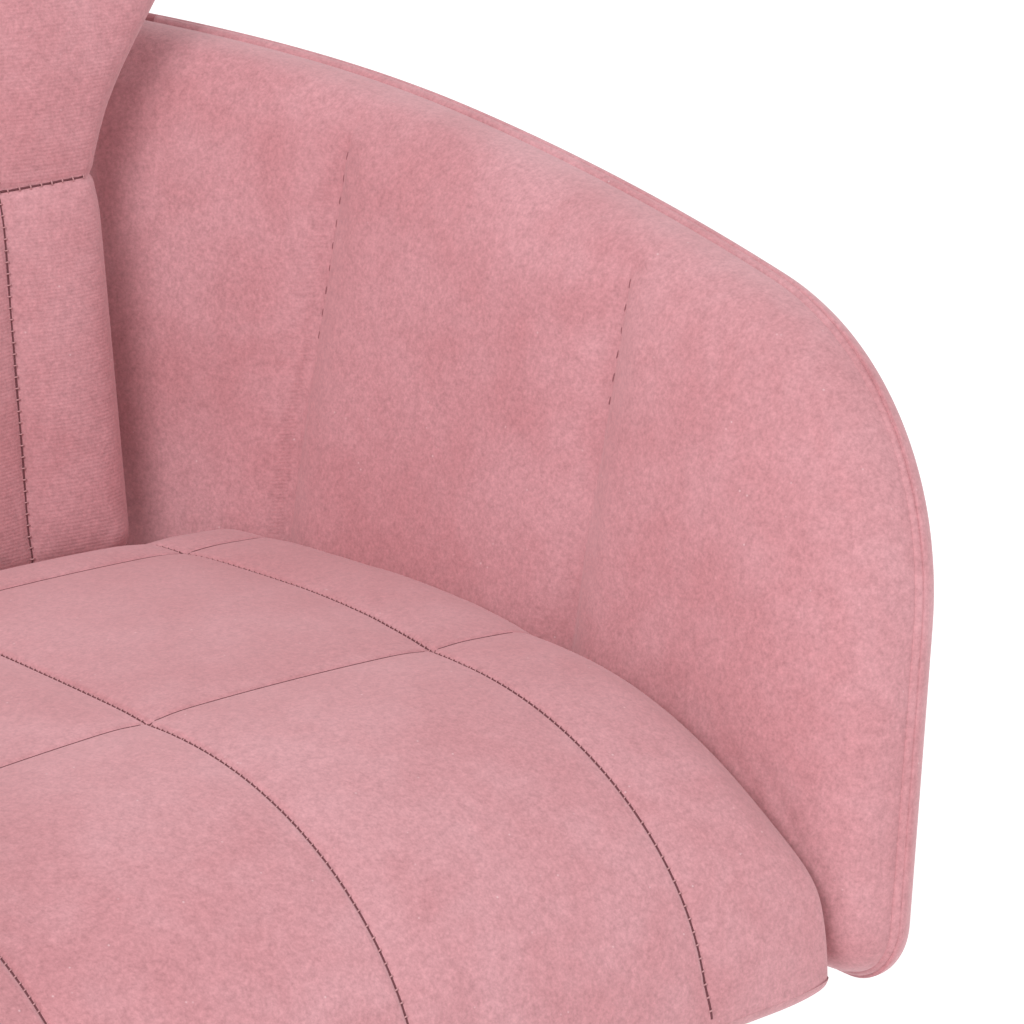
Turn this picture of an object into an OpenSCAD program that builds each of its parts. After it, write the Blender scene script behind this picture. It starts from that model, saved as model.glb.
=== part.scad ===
// Styling chair: padded shell seat on a hydraulic pump base with a foot pedal and a footrest.
// Millimetres, +Z up, the sitter faces -Y, origin on the floor under the pump's axis.
// Heights are those of the chair pumped fully down.

/* [Seat] */
// Height of the seat cushion's top above the floor, pumped fully down
seat_height = 480; // [450:1:540]
// Width of the seat cushion at its top
seat_width = 512; // [470:1:530]
// Reach of the seat cushion in front of the pump's axis
seat_front = 212; // [206:1:240]
// Reach of the seat cushion behind the pump's axis
seat_rear = 232; // [200:1:245]
// Thickness of the seat cushion
seat_thickness = 138; // [110:1:160]
// Thickness of the plywood boards
board_thickness = 15; // [12:1:20]

/* [Arms] */
// Distance from the middle of the chair to an arm's inner face at seat level
arm_inner = 270; // [262:1:300]
// Outward lean of the arms in degrees
arm_lean = 12; // [4:1:16]
// Height of the arm's top above the seat, at the front
arm_rise = 183; // [160:1:210]
// Depth of the arm below the seat's top
arm_drop = 132; // [110:1:140]
// Reach of the arm in front of the pump's axis
arm_front = 204; // [190:1:240]
// Slope of the arm's top behind its corner, in degrees; it levels out to the rear
arm_slope = 12; // [8:1:14]
// Radius of the arm's top front corner
arm_corner = 171; // [130:1:180]
// Thickness of the arm's inner pad
arm_inner_pad = 27; // [22:1:34]
// Thickness of the arm's outer pad
arm_outer_pad = 9; // [6:1:16]
// Diameter of the piping cord with its cover
piping_d = 8; // [6:0.1:10]

/* [Back] */
// Height of the back's top above the seat
back_rise = 470; // [390:0.5:520]
// Half width of the back at seat level
back_half_low = 174; // [150:1:176]
// Half width of the back where it is widest
back_half_top = 272; // [240:1:290]
// Backward lean of the back in degrees
back_lean = 12; // [8:1:16]
// Thickness of the back cushion
back_pad = 42; // [36:1:46]

/* [Pump and base] */
// Radius of the round base
base_r = 300; // [270:1:360]
// Radius of the ram
ram_r = 19; // [17:0.1:23]
// How far the pump lifts the seat
lift = 150; // [110:1:160]
// Height of the pedal's pivot above the floor
pivot_z = 84; // [80:1:88]
// Reach of the pedal behind the pump's axis
pedal_reach = 350; // [340:1:380]

/* [Footrest] */
// Distance from the pump's axis forward to the footrest bar
footrest_reach = 430; // [410:1:470]
// Height of the footrest bar above the floor
footrest_z = 176; // [170:1:200]
// Length of the footrest bar
footrest_w = 380; // [320:1:440]

/* [Fits] */
// Radial clearance of a running fit
running = 0.06; // [0.03:0.01:0.09]
// Clearance between padded pieces and what they fit around
ease = 0.4; // [0.3:0.1:0.8]

/* [Hidden] */
$fn = 64;

velvet = "#cf9499";
chrome = "#d8dadd";
steel = "#9a9da1";
black = "#26272a";
ply = "#c9a878";

// ---- base levels ----
underlay_t = 4;
ballast_t = 10;
ballast_gap = 38;                 // ballast disc's edge in from the base's edge
ballast_top = underlay_t + ballast_t;
cover_edge_z = 12;                // top of the cover's upright rim
cover_h = 34;                     // rise of the cover's dome
cover_t = 2;
dome_r = (base_r * base_r + cover_h * cover_h) / (2 * cover_h);
dome_cz = cover_edge_z + cover_h - dome_r;
function cover_z(r) = dome_cz + sqrt(dome_r * dome_r - r * r);

// ---- pump ----
foot_r = 108;
foot_t = 10;
foot_top = ballast_top + foot_t;
piston_r = ram_r + 5;
cylinder_r = piston_r + 5;
reservoir_r = cylinder_r + 15;
reservoir_t = 3;
gland_t = 18;
gland_r = reservoir_r + 3;
seal_r = ram_r + 6;
seal_t = 8;
ram_bottom = 60;
piston_t = 18;
pump_top = ram_bottom + piston_t + lift + 34;   // top of the cylinder and the reservoir
shroud_r = 118;                   // the shroud's bell, which houses the pedal's pivot
neck_r = gland_r + 13;
shroud_t = 2;
shroud_z = cover_z(shroud_r - shroud_t);
bell_z = 60;                      // where the bell's side starts to round over
shroud_top = pump_top - 4;
bolt_circle = 85;
bolt_r = 5;

// ---- pedal ----
pin_r = 5;
lever_w = 24;
lever_hub_r = 11;
pivot_y = reservoir_r + lever_hub_r + 1;
lever_h = 16;
ear_gap = 1;
ear_t = 6;
ear_half = 9.5;                   // half the ear's depth in Y
plunger_y = pivot_y + 30;
plunger_r = 8;
plunger_head_z = pivot_z - lever_h / 2 - 2.5;
boss_top = 42;
boss_half = 16;
pad_z = pivot_z + 27;

// ---- top of the column ----
plate_t = 6;
board_z = seat_height - seat_thickness;
plate_z = board_z - plate_t;
hub_h = 31;
hub_z = plate_z - hub_h;
hub_r = 45;
washer_t = 4;
ram_top = hub_z - washer_t;
spigot_r = ram_r - 4;
bush_t = 3;
nut_pocket_t = 12;
nut_r = spigot_r + 7;
nut_t = 8;
bush_h = hub_h - nut_pocket_t;
column_shroud_r = neck_r + 9;
column_shroud_h = 98;
plate_half = 110;
plate_hole = 85;
m8 = 4;
m8_head = 6.5;
m8_head_t = 5;

// ---- seat ----
board_half_x = 190;
board_front = seat_front - 35;
board_rear = seat_rear - 20;
seat_half = seat_width / 2;
arm_foot_half = arm_inner - arm_drop * tan(arm_lean);
seat_half_low = min(seat_half - 22, arm_foot_half - 4);

// ---- arms, in the arm's own leaning frame: x out, y back, z up the arm ----
core_x = arm_inner_pad;
outer_x = core_x + board_thickness;
arm_t = outer_x + arm_outer_pad;
arm_bend_r = 3800;                // gentle curve of the arm in plan
arm_bend_y = -280;                // where the arm is widest
arm_wrap_r = 360;                 // tighter curve that wraps behind the back
arm_wrap_y = 165;                 // where the tighter curve starts
arm_end_y = 326;                  // rear end of the arm
arm_foot_r = 28;
arm_top_r = 2013;                 // long curve of the arm's top edge
bracket_t = 5;
bracket_half = 45;
bracket_top = -20;
bracket_in = 150;

// ---- back, in the back's own leaning frame: y back, z up the back ----
back_y = 266;                     // front face of the back at seat level, in the middle
back_bend_r = 800;                // the back's curve in plan
back_board_t = 10;
back_rear_t = 9;
back_foot = -30;                  // lower edge of the back below the seat's top
back_waist = 165;                 // height up to which the back stays narrow
back_wide_z = 320;                // height at which the back is widest, above the arms
back_t = back_pad + back_board_t + back_rear_t;
bar_x = 75;
bar_w = 40;
bar_t = 6;

// ---- footrest ----
stem_r = 16;
bar_r = 14;
tread_t = 5;

module ring(r_out, r_in, h) {
    difference() {
        cylinder(r = r_out, h = h);
        translate([0, 0, -1]) cylinder(r = r_in, h = h + 2);
    }
}

module around(n, r, start = 0) {
    for (i = [0:n - 1]) rotate([0, 0, start + i * 360 / n]) translate([r, 0, 0]) children();
}

module slab(x0, x1, y0, y1, h, r) {
    linear_extrude(h) rounded(x0, x1, y0, y1, r);
}

module rounded(x0, x1, y0, y1, r) {
    translate([x0 + r, y0]) square([x1 - x0 - 2 * r, y1 - y0]);
    translate([x0, y0 + r]) square([x1 - x0, y1 - y0 - 2 * r]);
    for (x = [x0 + r, x1 - r], y = [y0 + r, y1 - r]) translate([x, y]) circle(r);
}

function arc(c, r, a0, a1, n) =
    [for (i = [0:n]) let (a = a0 + (a1 - a0) * i / n) [c[0] + r * cos(a), c[1] + r * sin(a)]];

function unit(v) = v / norm(v);

// Tube of 8 sides swept along a closed loop of points, kept square to a fixed direction
function loop_dir(path, i) =
    let (n = len(path)) unit(path[(i + 1) % n] - path[(i + n - 1) % n]);

module closed_tube(path, r, side) {
    n = len(path);
    points = [for (i = [0:n - 1]) let (t = loop_dir(path, i), u = unit(cross(t, side)),
        v = cross(t, u)) for (k = [0:7]) path[i] + r * (cos(45 * k) * u + sin(45 * k) * v)];
    faces = [for (i = [0:n - 1], k = [0:7]) let (j = (i + 1) % n, m = (k + 1) % 8)
        [i * 8 + k, i * 8 + m, j * 8 + m, j * 8 + k]];
    polyhedron(points, faces, convexity = 8);
}

// ================= base =================
module base_underlay() {
    color(black) cylinder(r = base_r, h = underlay_t);
}

module ballast_disc() {
    color(steel) difference() {
        translate([0, 0, underlay_t]) cylinder(r = base_r - ballast_gap, h = ballast_t);
        translate([0, 0, underlay_t - 1]) around(4, bolt_circle, 45)
            cylinder(r = bolt_r, h = ballast_t + 2);
    }
}

module base_cover() {
    color(chrome) rotate_extrude() difference() {
        intersection() {
            translate([0, dome_cz]) circle(dome_r, $fn = 200);
            translate([foot_r + 4, underlay_t]) square([base_r - foot_r - 4, cover_h + 20]);
        }
        intersection() {
            translate([0, dome_cz]) circle(dome_r - cover_t, $fn = 200);
            square([base_r - cover_t, cover_h + 30]);
        }
    }
}

module pump_casting() {
    color(black) difference() {
        union() {
            translate([0, 0, ballast_top]) cylinder(r = foot_r, h = foot_t);
            translate([-boss_half, plunger_y - boss_half, foot_top])
                cube([2 * boss_half, 2 * boss_half, boss_top - foot_top]);
            for (s = [-1, 1]) translate([s * (lever_w / 2 + ear_gap + ear_t / 2), pivot_y, 0])
                pedal_ear();
        }
        translate([0, 0, ballast_top - 1]) around(4, bolt_circle, 45)
            cylinder(r = bolt_r + 0.5, h = foot_t + 2);
        translate([0, plunger_y, foot_top + 2]) cylinder(r = plunger_r + running, h = boss_top);
        translate([0, plunger_y, boss_top - 5]) cylinder(r = plunger_r + 3, h = 10);
        translate([-40, pivot_y, pivot_z]) rotate([0, 90, 0]) cylinder(r = pin_r, h = 80);
    }
}

module pedal_ear() {
    translate([-ear_t / 2, -ear_half, foot_top])
        cube([ear_t, 2 * ear_half, pivot_z - foot_top]);
    translate([-ear_t / 2, 0, pivot_z]) rotate([0, 90, 0]) cylinder(r = ear_half, h = ear_t);
}

module pump_bolts() {
    color(steel) around(4, bolt_circle, 45) {
        translate([0, 0, underlay_t]) cylinder(r = bolt_r, h = foot_top - underlay_t + 1);
        translate([0, 0, foot_top]) cylinder(r = 9, h = 6, $fn = 6);
    }
}

module pump_cylinder() {
    color(steel) translate([0, 0, foot_top])
        ring(cylinder_r, piston_r + running, pump_top - foot_top);
}

module reservoir_tube() {
    color(black) translate([0, 0, foot_top])
        ring(reservoir_r, reservoir_r - reservoir_t, pump_top - foot_top);
}

module gland_nut() {
    color(steel) difference() {
        translate([0, 0, pump_top]) cylinder(r = gland_r, h = gland_t);
        translate([0, 0, pump_top - 1]) cylinder(r = ram_r + running, h = gland_t + 2);
        translate([0, 0, pump_top + gland_t - seal_t]) cylinder(r = seal_r, h = seal_t + 1);
    }
}

module ram_seal() {
    color(black) translate([0, 0, pump_top + gland_t - seal_t])
        ring(seal_r, ram_r + running, seal_t);
}

module pump_shroud() {
    color(chrome) difference() {
        rotate_extrude() {
            translate([shroud_r - shroud_t, shroud_z]) square([shroud_t, bell_z - shroud_z]);
            bell_section();
            translate([neck_r - shroud_t, bell_top_z() - shroud_t])
                square([shroud_t, shroud_top - bell_top_z() + shroud_t]);
        }
        translate([-lever_w / 2 - 4, pivot_y, bell_z - 12]) cube([lever_w + 8, 120, 50]);
    }
}

function bell_top_z() = bell_z + shroud_r - neck_r;

module bell_section() {
    bell_r = shroud_r - neck_r;
    intersection() {
        translate([neck_r - shroud_t, bell_z]) square([bell_r + shroud_t, bell_r]);
        union() {
            difference() {
                translate([neck_r, bell_z]) circle(bell_r);
                translate([neck_r, bell_z]) circle(bell_r - shroud_t);
                translate([neck_r - bell_r - 1, bell_z - bell_r]) square([bell_r + 1, 3 * bell_r]);
            }
            translate([neck_r - shroud_t, bell_top_z() - shroud_t]) square([shroud_t + 0.1, shroud_t]);
        }
    }
}

module pedal_pin() {
    half = lever_w / 2 + ear_gap + ear_t + 5;
    color(steel) translate([-half, pivot_y, pivot_z]) rotate([0, 90, 0])
        cylinder(r = pin_r, h = 2 * half);
}

module pin_clips() {
    x = lever_w / 2 + ear_gap + ear_t;
    color(steel) for (s = [0, 1]) mirror([s, 0, 0]) translate([x, pivot_y, pivot_z])
        rotate([0, 90, 0]) ring(pin_r + 4, pin_r, 1.5);
}

module plunger_seal() {
    color(black) translate([0, plunger_y, boss_top - 5])
        ring(plunger_r + 3, plunger_r + running, 5);
}

// ================= pedal =================
module pedal_lever() {
    low = pivot_z - lever_h / 2;
    bend_y = 150;
    color(chrome) difference() {
        translate([-lever_w / 2, 0, 0]) rotate([90, 0, 90]) linear_extrude(lever_w) union() {
            translate([pivot_y, pivot_z]) circle(lever_hub_r);
            polygon([[pivot_y, low], [bend_y, low], [pedal_reach - 40, pad_z - 8 - 8],
                [pedal_reach + 24, pad_z - 8], [pedal_reach + 24, pad_z],
                [pedal_reach - 36, pad_z], [bend_y, low + lever_h], [pivot_y, low + lever_h]]);
        }
        translate([-40, pivot_y, pivot_z]) rotate([0, 90, 0])
            cylinder(r = pin_r + running, h = 80);
    }
    color(chrome) translate([0, 0, pad_z - 5])
        slab(-38, 38, pedal_reach - 34, pedal_reach + 26, 5, 14);
}

module pedal_pad() {
    color(black) translate([0, 0, pad_z]) {
        slab(-40, 40, pedal_reach - 35, pedal_reach + 28, 5, 15);
        for (i = [0:4]) translate([0, 0, 4]) slab(-30, 30, pedal_reach - 26 + i * 10,
            pedal_reach - 21 + i * 10, 3, 2.4);
    }
}

module plunger() {
    color(steel) translate([0, plunger_y, 0]) {
        translate([0, 0, boss_top - 6]) cylinder(r = plunger_r, h = plunger_head_z - boss_top + 6);
        translate([0, 0, plunger_head_z - 8]) cylinder(r = plunger_r + 4, h = 3);
        translate([0, 0, plunger_head_z]) intersection() {
            translate([0, 0, -4]) sphere(r = 6);
            translate([0, 0, 0]) cylinder(r = 6, h = 10);
        }
    }
}

module plunger_spring() {
    wire = 1.2;
    coil = plunger_r + 2.2;
    z0 = boss_top + wire + 0.2;
    z1 = plunger_head_z - 8 - wire - 0.2;
    turns = 4;
    steps = 20 * turns;
    points = [for (i = [0:steps]) let (a = 360 * turns * i / steps, z = z0 + (z1 - z0) * i / steps)
        for (k = [0:7]) let (q = coil + wire * cos(45 * k))
            [q * cos(a), plunger_y + q * sin(a), z + wire * sin(45 * k)]];
    faces = concat([[for (k = [0:7]) k]], [[for (k = [7:-1:0]) steps * 8 + k]],
        [for (i = [0:steps - 1], k = [0:7]) let (m = (k + 1) % 8)
            [i * 8 + k, (i + 1) * 8 + k, (i + 1) * 8 + m, i * 8 + m]]);
    color(steel) polyhedron(points, faces, convexity = 6);
}

// ================= ram =================
module ram() {
    color(chrome) {
        translate([0, 0, ram_bottom]) cylinder(r = ram_r, h = ram_top - ram_bottom);
        translate([0, 0, ram_top]) cylinder(r = spigot_r, h = hub_z - ram_top + bush_h + nut_t);
    }
}

module ram_piston() {
    color(steel) translate([0, 0, ram_bottom]) ring(piston_r, ram_r, piston_t);
}

module ram_nut() {
    color(steel) translate([0, 0, hub_z + bush_h + 0.3]) difference() {
        cylinder(r = nut_r, h = nut_t, $fn = 6);
        translate([0, 0, -1]) cylinder(r = spigot_r, h = nut_t + 2);
    }
}

module thrust_washer() {
    color("#b08d57") translate([0, 0, ram_top]) ring(ram_r + 8, spigot_r, washer_t - 0.05);
}

// ================= seat frame =================
module swivel_hub() {
    color(steel) translate([0, 0, hub_z]) difference() {
        cylinder(r = hub_r, h = hub_h);
        translate([0, 0, -1]) cylinder(r = spigot_r + bush_t, h = hub_h);
        translate([0, 0, bush_h]) cylinder(r = nut_r + 3, h = hub_h);
    }
}

module hub_bush() {
    color("#b08d57") translate([0, 0, hub_z]) ring(spigot_r + bush_t, spigot_r + running, bush_h);
}

module column_shroud() {
    color(black) {
        translate([0, 0, plate_z - column_shroud_h])
            ring(column_shroud_r, column_shroud_r - 3, column_shroud_h);
        translate([0, 0, plate_z - 3]) ring(column_shroud_r - 2, hub_r, 3);
    }
}

module plate_holes(r, h) {
    for (x = [-1, 1], y = [-1, 1]) translate([x * plate_hole, y * plate_hole, 0])
        cylinder(r = r, h = h);
}

module seat_plate() {
    color(black) difference() {
        translate([0, 0, plate_z]) slab(-plate_half, plate_half, -plate_half, plate_half, plate_t, 22);
        translate([0, 0, plate_z - 1]) plate_holes(m8 + 0.5, plate_t + 2);
    }
}

module seat_plate_bolts() {
    color(steel) translate([0, 0, plate_z - m8_head_t]) {
        plate_holes(m8_head, m8_head_t);
        plate_holes(m8, m8_head_t + plate_t + board_thickness - 3);
    }
}

module t_nut_shape() {
    ring(m8 + 1.5, m8, board_thickness - 4);
    translate([0, 0, board_thickness - 5.5]) ring(10, m8, 1.5);
}

module t_nuts() {
    color(steel) translate([0, 0, board_z + 4])
        for (x = [-1, 1], y = [-1, 1]) translate([x * plate_hole, y * plate_hole, 0]) t_nut_shape();
}

module seat_board() {
    color(ply) difference() {
        translate([0, 0, board_z])
            slab(-board_half_x, board_half_x, -board_front, board_rear, board_thickness, 40);
        translate([0, 0, board_z - 1]) plate_holes(m8 + 1.5, board_thickness + 2);
        translate([0, 0, board_z + board_thickness - 1.5]) plate_holes(10, 3);
        for (x = [-1, 1], y = [-1, 1]) translate([x * (bracket_in + 25), y * 25, board_z - 1])
            cylinder(r = m8, h = board_thickness - 2);
        for (x = [-1, 1], i = [0, 1])
            translate([x * bar_x, board_rear - 25 - i * 45, board_z - 1])
                cylinder(r = m8, h = board_thickness - 2);
        for (x = [-1, 1], i = [0, 1]) translate([x * 22, 15 - board_front + i * 25, board_z - 1])
            cylinder(r = m8, h = board_thickness - 2);
    }
}

module seat_cushion() {
    crown = 14;
    soft = 46;
    color(velvet) difference() {
        hull() {
            for (s = [-1, 1]) {
                translate([s * (seat_half_low - 30), 40 - seat_front, board_z]) cylinder(r = 30, h = 8);
                translate([s * (seat_half_low - 70), seat_rear - 44, board_z]) cylinder(r = 30, h = 8);
                translate([s * (seat_half - soft - 6), soft - seat_front, seat_height - crown - soft])
                    sphere(r = soft, $fn = 32);
                translate([s * (seat_half - soft - 34), seat_rear - soft - 4, seat_height - 10 - soft])
                    sphere(r = soft, $fn = 32);
            }
            for (s = [-1, 1]) translate([s * 110, seat_rear - soft + 14, seat_height - 10 - soft])
                sphere(r = soft, $fn = 32);
            translate([0, 0, seat_height - 8]) cylinder(r = 120, h = 8);
        }
        translate([0, 0, board_z - 1]) slab(-board_half_x - ease, board_half_x + ease,
            -board_front - ease, board_rear + ease, board_thickness + 1 + ease, 40);
    }
}

// ================= arms =================
module arm_frame() {
    translate([arm_inner, 0, seat_height]) rotate([0, arm_lean, 0]) children();
}

// Plan of the arm between two distances outward from its inner face
function bend_x(y) = -arm_bend_r + sqrt(arm_bend_r * arm_bend_r - pow(y - arm_bend_y, 2));
wrap_slope = asin((arm_wrap_y - arm_bend_y) / arm_bend_r);
wrap_cx = bend_x(arm_wrap_y) - arm_wrap_r * cos(wrap_slope);
wrap_cy = arm_wrap_y - arm_wrap_r * sin(wrap_slope);
wrap_end = asin((arm_end_y - wrap_cy) / arm_wrap_r);

module arm_plan(x0, x1) {
    intersection() {
        difference() {
            translate([-arm_bend_r, arm_bend_y]) circle(arm_bend_r + x1, $fn = 400);
            translate([-arm_bend_r, arm_bend_y]) circle(arm_bend_r + x0, $fn = 400);
        }
        translate([-200, -arm_front - 60]) square([400, arm_front + 60 + arm_wrap_y]);
    }
    difference() {
        intersection() {
            translate([wrap_cx, wrap_cy]) circle(arm_wrap_r + x1, $fn = 120);
            translate([wrap_cx, arm_wrap_y - 0.01]) square([600, 400]);
            rotate_about([wrap_cx, wrap_cy], wrap_end) translate([0, -600]) square([600, 600]);
        }
        translate([wrap_cx, wrap_cy]) circle(arm_wrap_r + x0, $fn = 120);
    }
}

module rotate_about(p, a) {
    translate(p) rotate(a) children();
}

// Side outline of the arm: y back, z up, drawn inset by a margin from its outer edge
front_lean = 8;
arm_top_z = arm_rise / cos(arm_lean);
arm_foot_z = -arm_drop / cos(arm_lean);

arm_corner_c = [arm_corner - arm_front + 6, arm_top_z - arm_corner];
arm_top_c = arm_corner_c
    + (arm_corner - arm_top_r) * [cos(90 + arm_slope), sin(90 + arm_slope)];

// Top edge, from the rear end to where the front corner starts
function arm_top_edge(inset, end_y, n) =
    let (r = arm_top_r - inset, a = acos((end_y - arm_top_c[0]) / r))
    [for (i = [0:n - 1]) let (t = a + (90 + arm_slope - a) * i / n)
        arm_top_c + r * [cos(t), sin(t)]];

// Front corner, leaning front edge and foot
function arm_front_edge(inset) =
    let (foot_y = arm_corner_c[0] - arm_corner / cos(front_lean)
            - (arm_corner_c[1] - arm_foot_z) * tan(front_lean),
        foot_c = [foot_y + arm_foot_r * (1 / cos(front_lean) + tan(front_lean)),
            arm_foot_z + arm_foot_r])
    concat(arc(arm_corner_c, arm_corner - inset, 90 + arm_slope, 180 - front_lean, 16),
        arc(foot_c, arm_foot_r - inset, 180 - front_lean, 270, 6));

function arm_outline(inset) =
    let (end_y = arm_end_y + 40 - inset)
    concat(arm_top_edge(inset, end_y, 8), arm_front_edge(inset), [[end_y, arm_foot_z + inset]]);

module arm_slice(x0, x1, inset) {
    intersection() {
        translate([0, 0, -220]) linear_extrude(620) arm_plan(x0, x1);
        translate([-300, 0, 0]) rotate([90, 0, 90]) linear_extrude(700) polygon(arm_outline(inset));
    }
}

module bracket_leg(grow) {
    x1 = core_x;
    translate([x1 - bracket_t - grow, -bracket_half - grow, arm_foot_z - 40])
        cube([bracket_t + grow, 2 * bracket_half + 2 * grow, bracket_top - arm_foot_z + 40 + grow]);
}

// The core's inner face is nearly flat beside the bracket: the leg stands off it by the bend
bracket_shift = bend_x(bracket_half);

module arm_core_shape() {
    difference() {
        arm_slice(core_x, outer_x, piping_d);
        for (z = [-95, -45]) translate([core_x - 30, 0, z]) rotate([0, 90, 0])
            cylinder(r = m8, h = 30 + board_thickness - 4);
    }
}

module arm_inner_shape() {
    difference() {
        arm_slice(0, core_x, piping_d);
        translate([bracket_shift, 0, 0]) bracket_leg(ease);
        for (z = [-95, -45]) translate([bracket_shift + core_x - bracket_t - 6, 0, z])
            rotate([0, 90, 0]) cylinder(r = m8_head + 1.5, h = 30);
    }
}

module arm_outer_shape() {
    arm_slice(outer_x, arm_t, piping_d);
}

// The piping runs round the arm's edge where the inner pad meets the outer panel
function arm_piping_xy(y, x0) =
    y < arm_wrap_y ? [bend_x_at(y, x0), y]
    : [wrap_cx + sqrt(max(1, pow(arm_wrap_r + x0, 2) - pow(y - wrap_cy, 2))), y];
function bend_x_at(y, x0) = -arm_bend_r + sqrt(pow(arm_bend_r + x0, 2) - pow(y - arm_bend_y, 2));

module arm_piping_shape() {
    mid = outer_x - 1;
    r = piping_d / 2;
    end_y = arm_end_y - 30;
    front = arm_front_edge(r - 0.4);
    foot = front[len(front) - 1];
    low = [for (i = [1:12]) let (y = foot[0] + (end_y - foot[0]) * i / 12) [y, foot[1]]];
    line = concat(arm_top_edge(r - 0.4, end_y, 12), front, low);
    path = [for (p = line) let (q = arm_piping_xy(p[0], mid)) [q[0], q[1], p[1]]];
    open_tube(path, r, [1, 0, 0]);
}

function open_dir(path, i) =
    let (n = len(path)) unit(path[min(i + 1, n - 1)] - path[max(i - 1, 0)]);

module open_tube(path, r, side) {
    n = len(path);
    points = [for (i = [0:n - 1]) let (t = open_dir(path, i), u = unit(cross(t, side)),
        v = cross(t, u)) for (k = [0:7]) path[i] + r * (cos(45 * k) * u + sin(45 * k) * v)];
    faces = concat([[for (k = [7:-1:0]) k]], [[for (k = [0:7]) (n - 1) * 8 + k]],
        [for (i = [0:n - 2], k = [0:7]) let (m = (k + 1) % 8)
            [i * 8 + k, i * 8 + m, (i + 1) * 8 + m, (i + 1) * 8 + k]]);
    polyhedron(points, faces, convexity = 8);
}

module arm_bracket_shape() {
    difference() {
        union() {
            intersection() {
                arm_frame() translate([bracket_shift, 0, 0]) bracket_leg(0);
                translate([0, -200, board_z - bracket_t]) cube([600, 400, 600]);
            }
            translate([bracket_in, -bracket_half, board_z - bracket_t])
                cube([bracket_out() - bracket_in, 2 * bracket_half, bracket_t]);
        }
        for (y = [-25, 25]) translate([bracket_in + 25, y, board_z - 20]) cylinder(r = m8 + 0.5, h = 40);
        arm_frame() for (z = [-95, -45]) translate([core_x - 40, 0, z]) rotate([0, 90, 0])
            cylinder(r = m8 + 0.5, h = 80);
    }
}

// World x where the leaning leg's outer face reaches the level of the board's underside
function bracket_out() =
    arm_inner + (bracket_shift + core_x) / cos(arm_lean)
        - (seat_height - board_z) * tan(arm_lean);

module arm_bolts_shape() {
    for (y = [-25, 25]) translate([bracket_in + 25, y, board_z - bracket_t - m8_head_t]) {
        cylinder(r = m8_head, h = m8_head_t);
        cylinder(r = m8, h = m8_head_t + bracket_t + board_thickness - 5);
    }
    arm_frame() for (z = [-95, -45])
        translate([bracket_shift + core_x - bracket_t - m8_head_t, 0, z]) rotate([0, 90, 0]) {
            cylinder(r = m8_head, h = m8_head_t);
            cylinder(r = m8, h = m8_head_t + bracket_t + 8);
        }
}

module right_side() {
    mirror([1, 0, 0]) children();
}

module left_arm_core() { color(ply) arm_frame() arm_core_shape(); }
module left_arm_inner_pad() { color(velvet) arm_frame() arm_inner_shape(); }
module left_arm_outer_pad() { color(velvet) arm_frame() arm_outer_shape(); }
module left_arm_piping() { color(velvet) arm_frame() arm_piping_shape(); }
module left_arm_bracket() { color(black) arm_bracket_shape(); }
module left_arm_bolts() { color(steel) arm_bolts_shape(); }
module right_arm_core() { right_side() left_arm_core(); }
module right_arm_inner_pad() { right_side() left_arm_inner_pad(); }
module right_arm_outer_pad() { right_side() left_arm_outer_pad(); }
module right_arm_piping() { right_side() left_arm_piping(); }
module right_arm_bracket() { right_side() left_arm_bracket(); }
module right_arm_bolts() { right_side() left_arm_bolts(); }

// ================= back =================
module back_frame() {
    translate([0, back_y, seat_height]) rotate([-back_lean, 0, 0]) children();
}

module back_plan(y0, y1) {
    difference() {
        translate([0, -back_bend_r]) circle(back_bend_r + y1, $fn = 240);
        translate([0, -back_bend_r]) circle(back_bend_r + y0, $fn = 240);
        translate([-2 * back_bend_r, -4 * back_bend_r]) square([4 * back_bend_r, 3.6 * back_bend_r]);
    }
}

function ease_in(t) = t * t * (3 - 2 * t);

// Right half of the back's outline from its foot to its top, inset by a margin
function back_side(inset) =
    let (r = 24 - inset, top_r = 0.7 * (back_rise - back_wide_z) - inset,
        low = back_half_low - inset, waist = back_half_low + 14 - inset,
        wide = back_half_top - inset)
    concat(arc([low - r, back_foot + inset + r], r, -90, 0, 4),
        [[waist, back_waist]],
        [for (i = [1:8]) let (t = i / 8)
            [waist + (wide - waist) * ease_in(t), back_waist + (back_wide_z - back_waist) * t]],
        arc([wide - top_r, back_rise - inset - top_r], top_r, 0, 80, 8));

function flip(points) = [for (i = [len(points) - 1:-1:0]) [-points[i][0], points[i][1]]];

module back_slice(y0, y1, inset) {
    side = back_side(inset);
    intersection() {
        translate([0, 0, back_foot - 5]) linear_extrude(back_rise - back_foot + 10) back_plan(y0, y1);
        translate([0, 400, 0]) rotate([90, 0, 0]) linear_extrude(800) polygon(concat(side, flip(side)));
    }
}

bar_angle = asin(bar_x / (back_bend_r + back_pad + back_board_t));
module at_bar(s) {
    translate([0, -back_bend_r, 0]) rotate([0, 0, -s * bar_angle])
        translate([0, back_bend_r + back_pad + back_board_t, 0]) children();
}

module bar_leg(grow) {
    translate([-bar_w / 2 - grow, 0, -260])
        cube([bar_w + 2 * grow, bar_t + grow, 260 + bar_top + grow]);
}
bar_top = 190;

module back_board() {
    color(ply) back_frame() difference() {
        back_slice(back_pad, back_pad + back_board_t, piping_d + 4);
        for (s = [-1, 1], z = [40, 150]) at_bar(s) translate([0, 2, z]) rotate([90, 0, 0])
            cylinder(r = m8 - 1, h = 9.5);
    }
}

module back_cushion() {
    color(velvet) back_frame() back_slice(0, back_pad - ease, piping_d);
}

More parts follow.
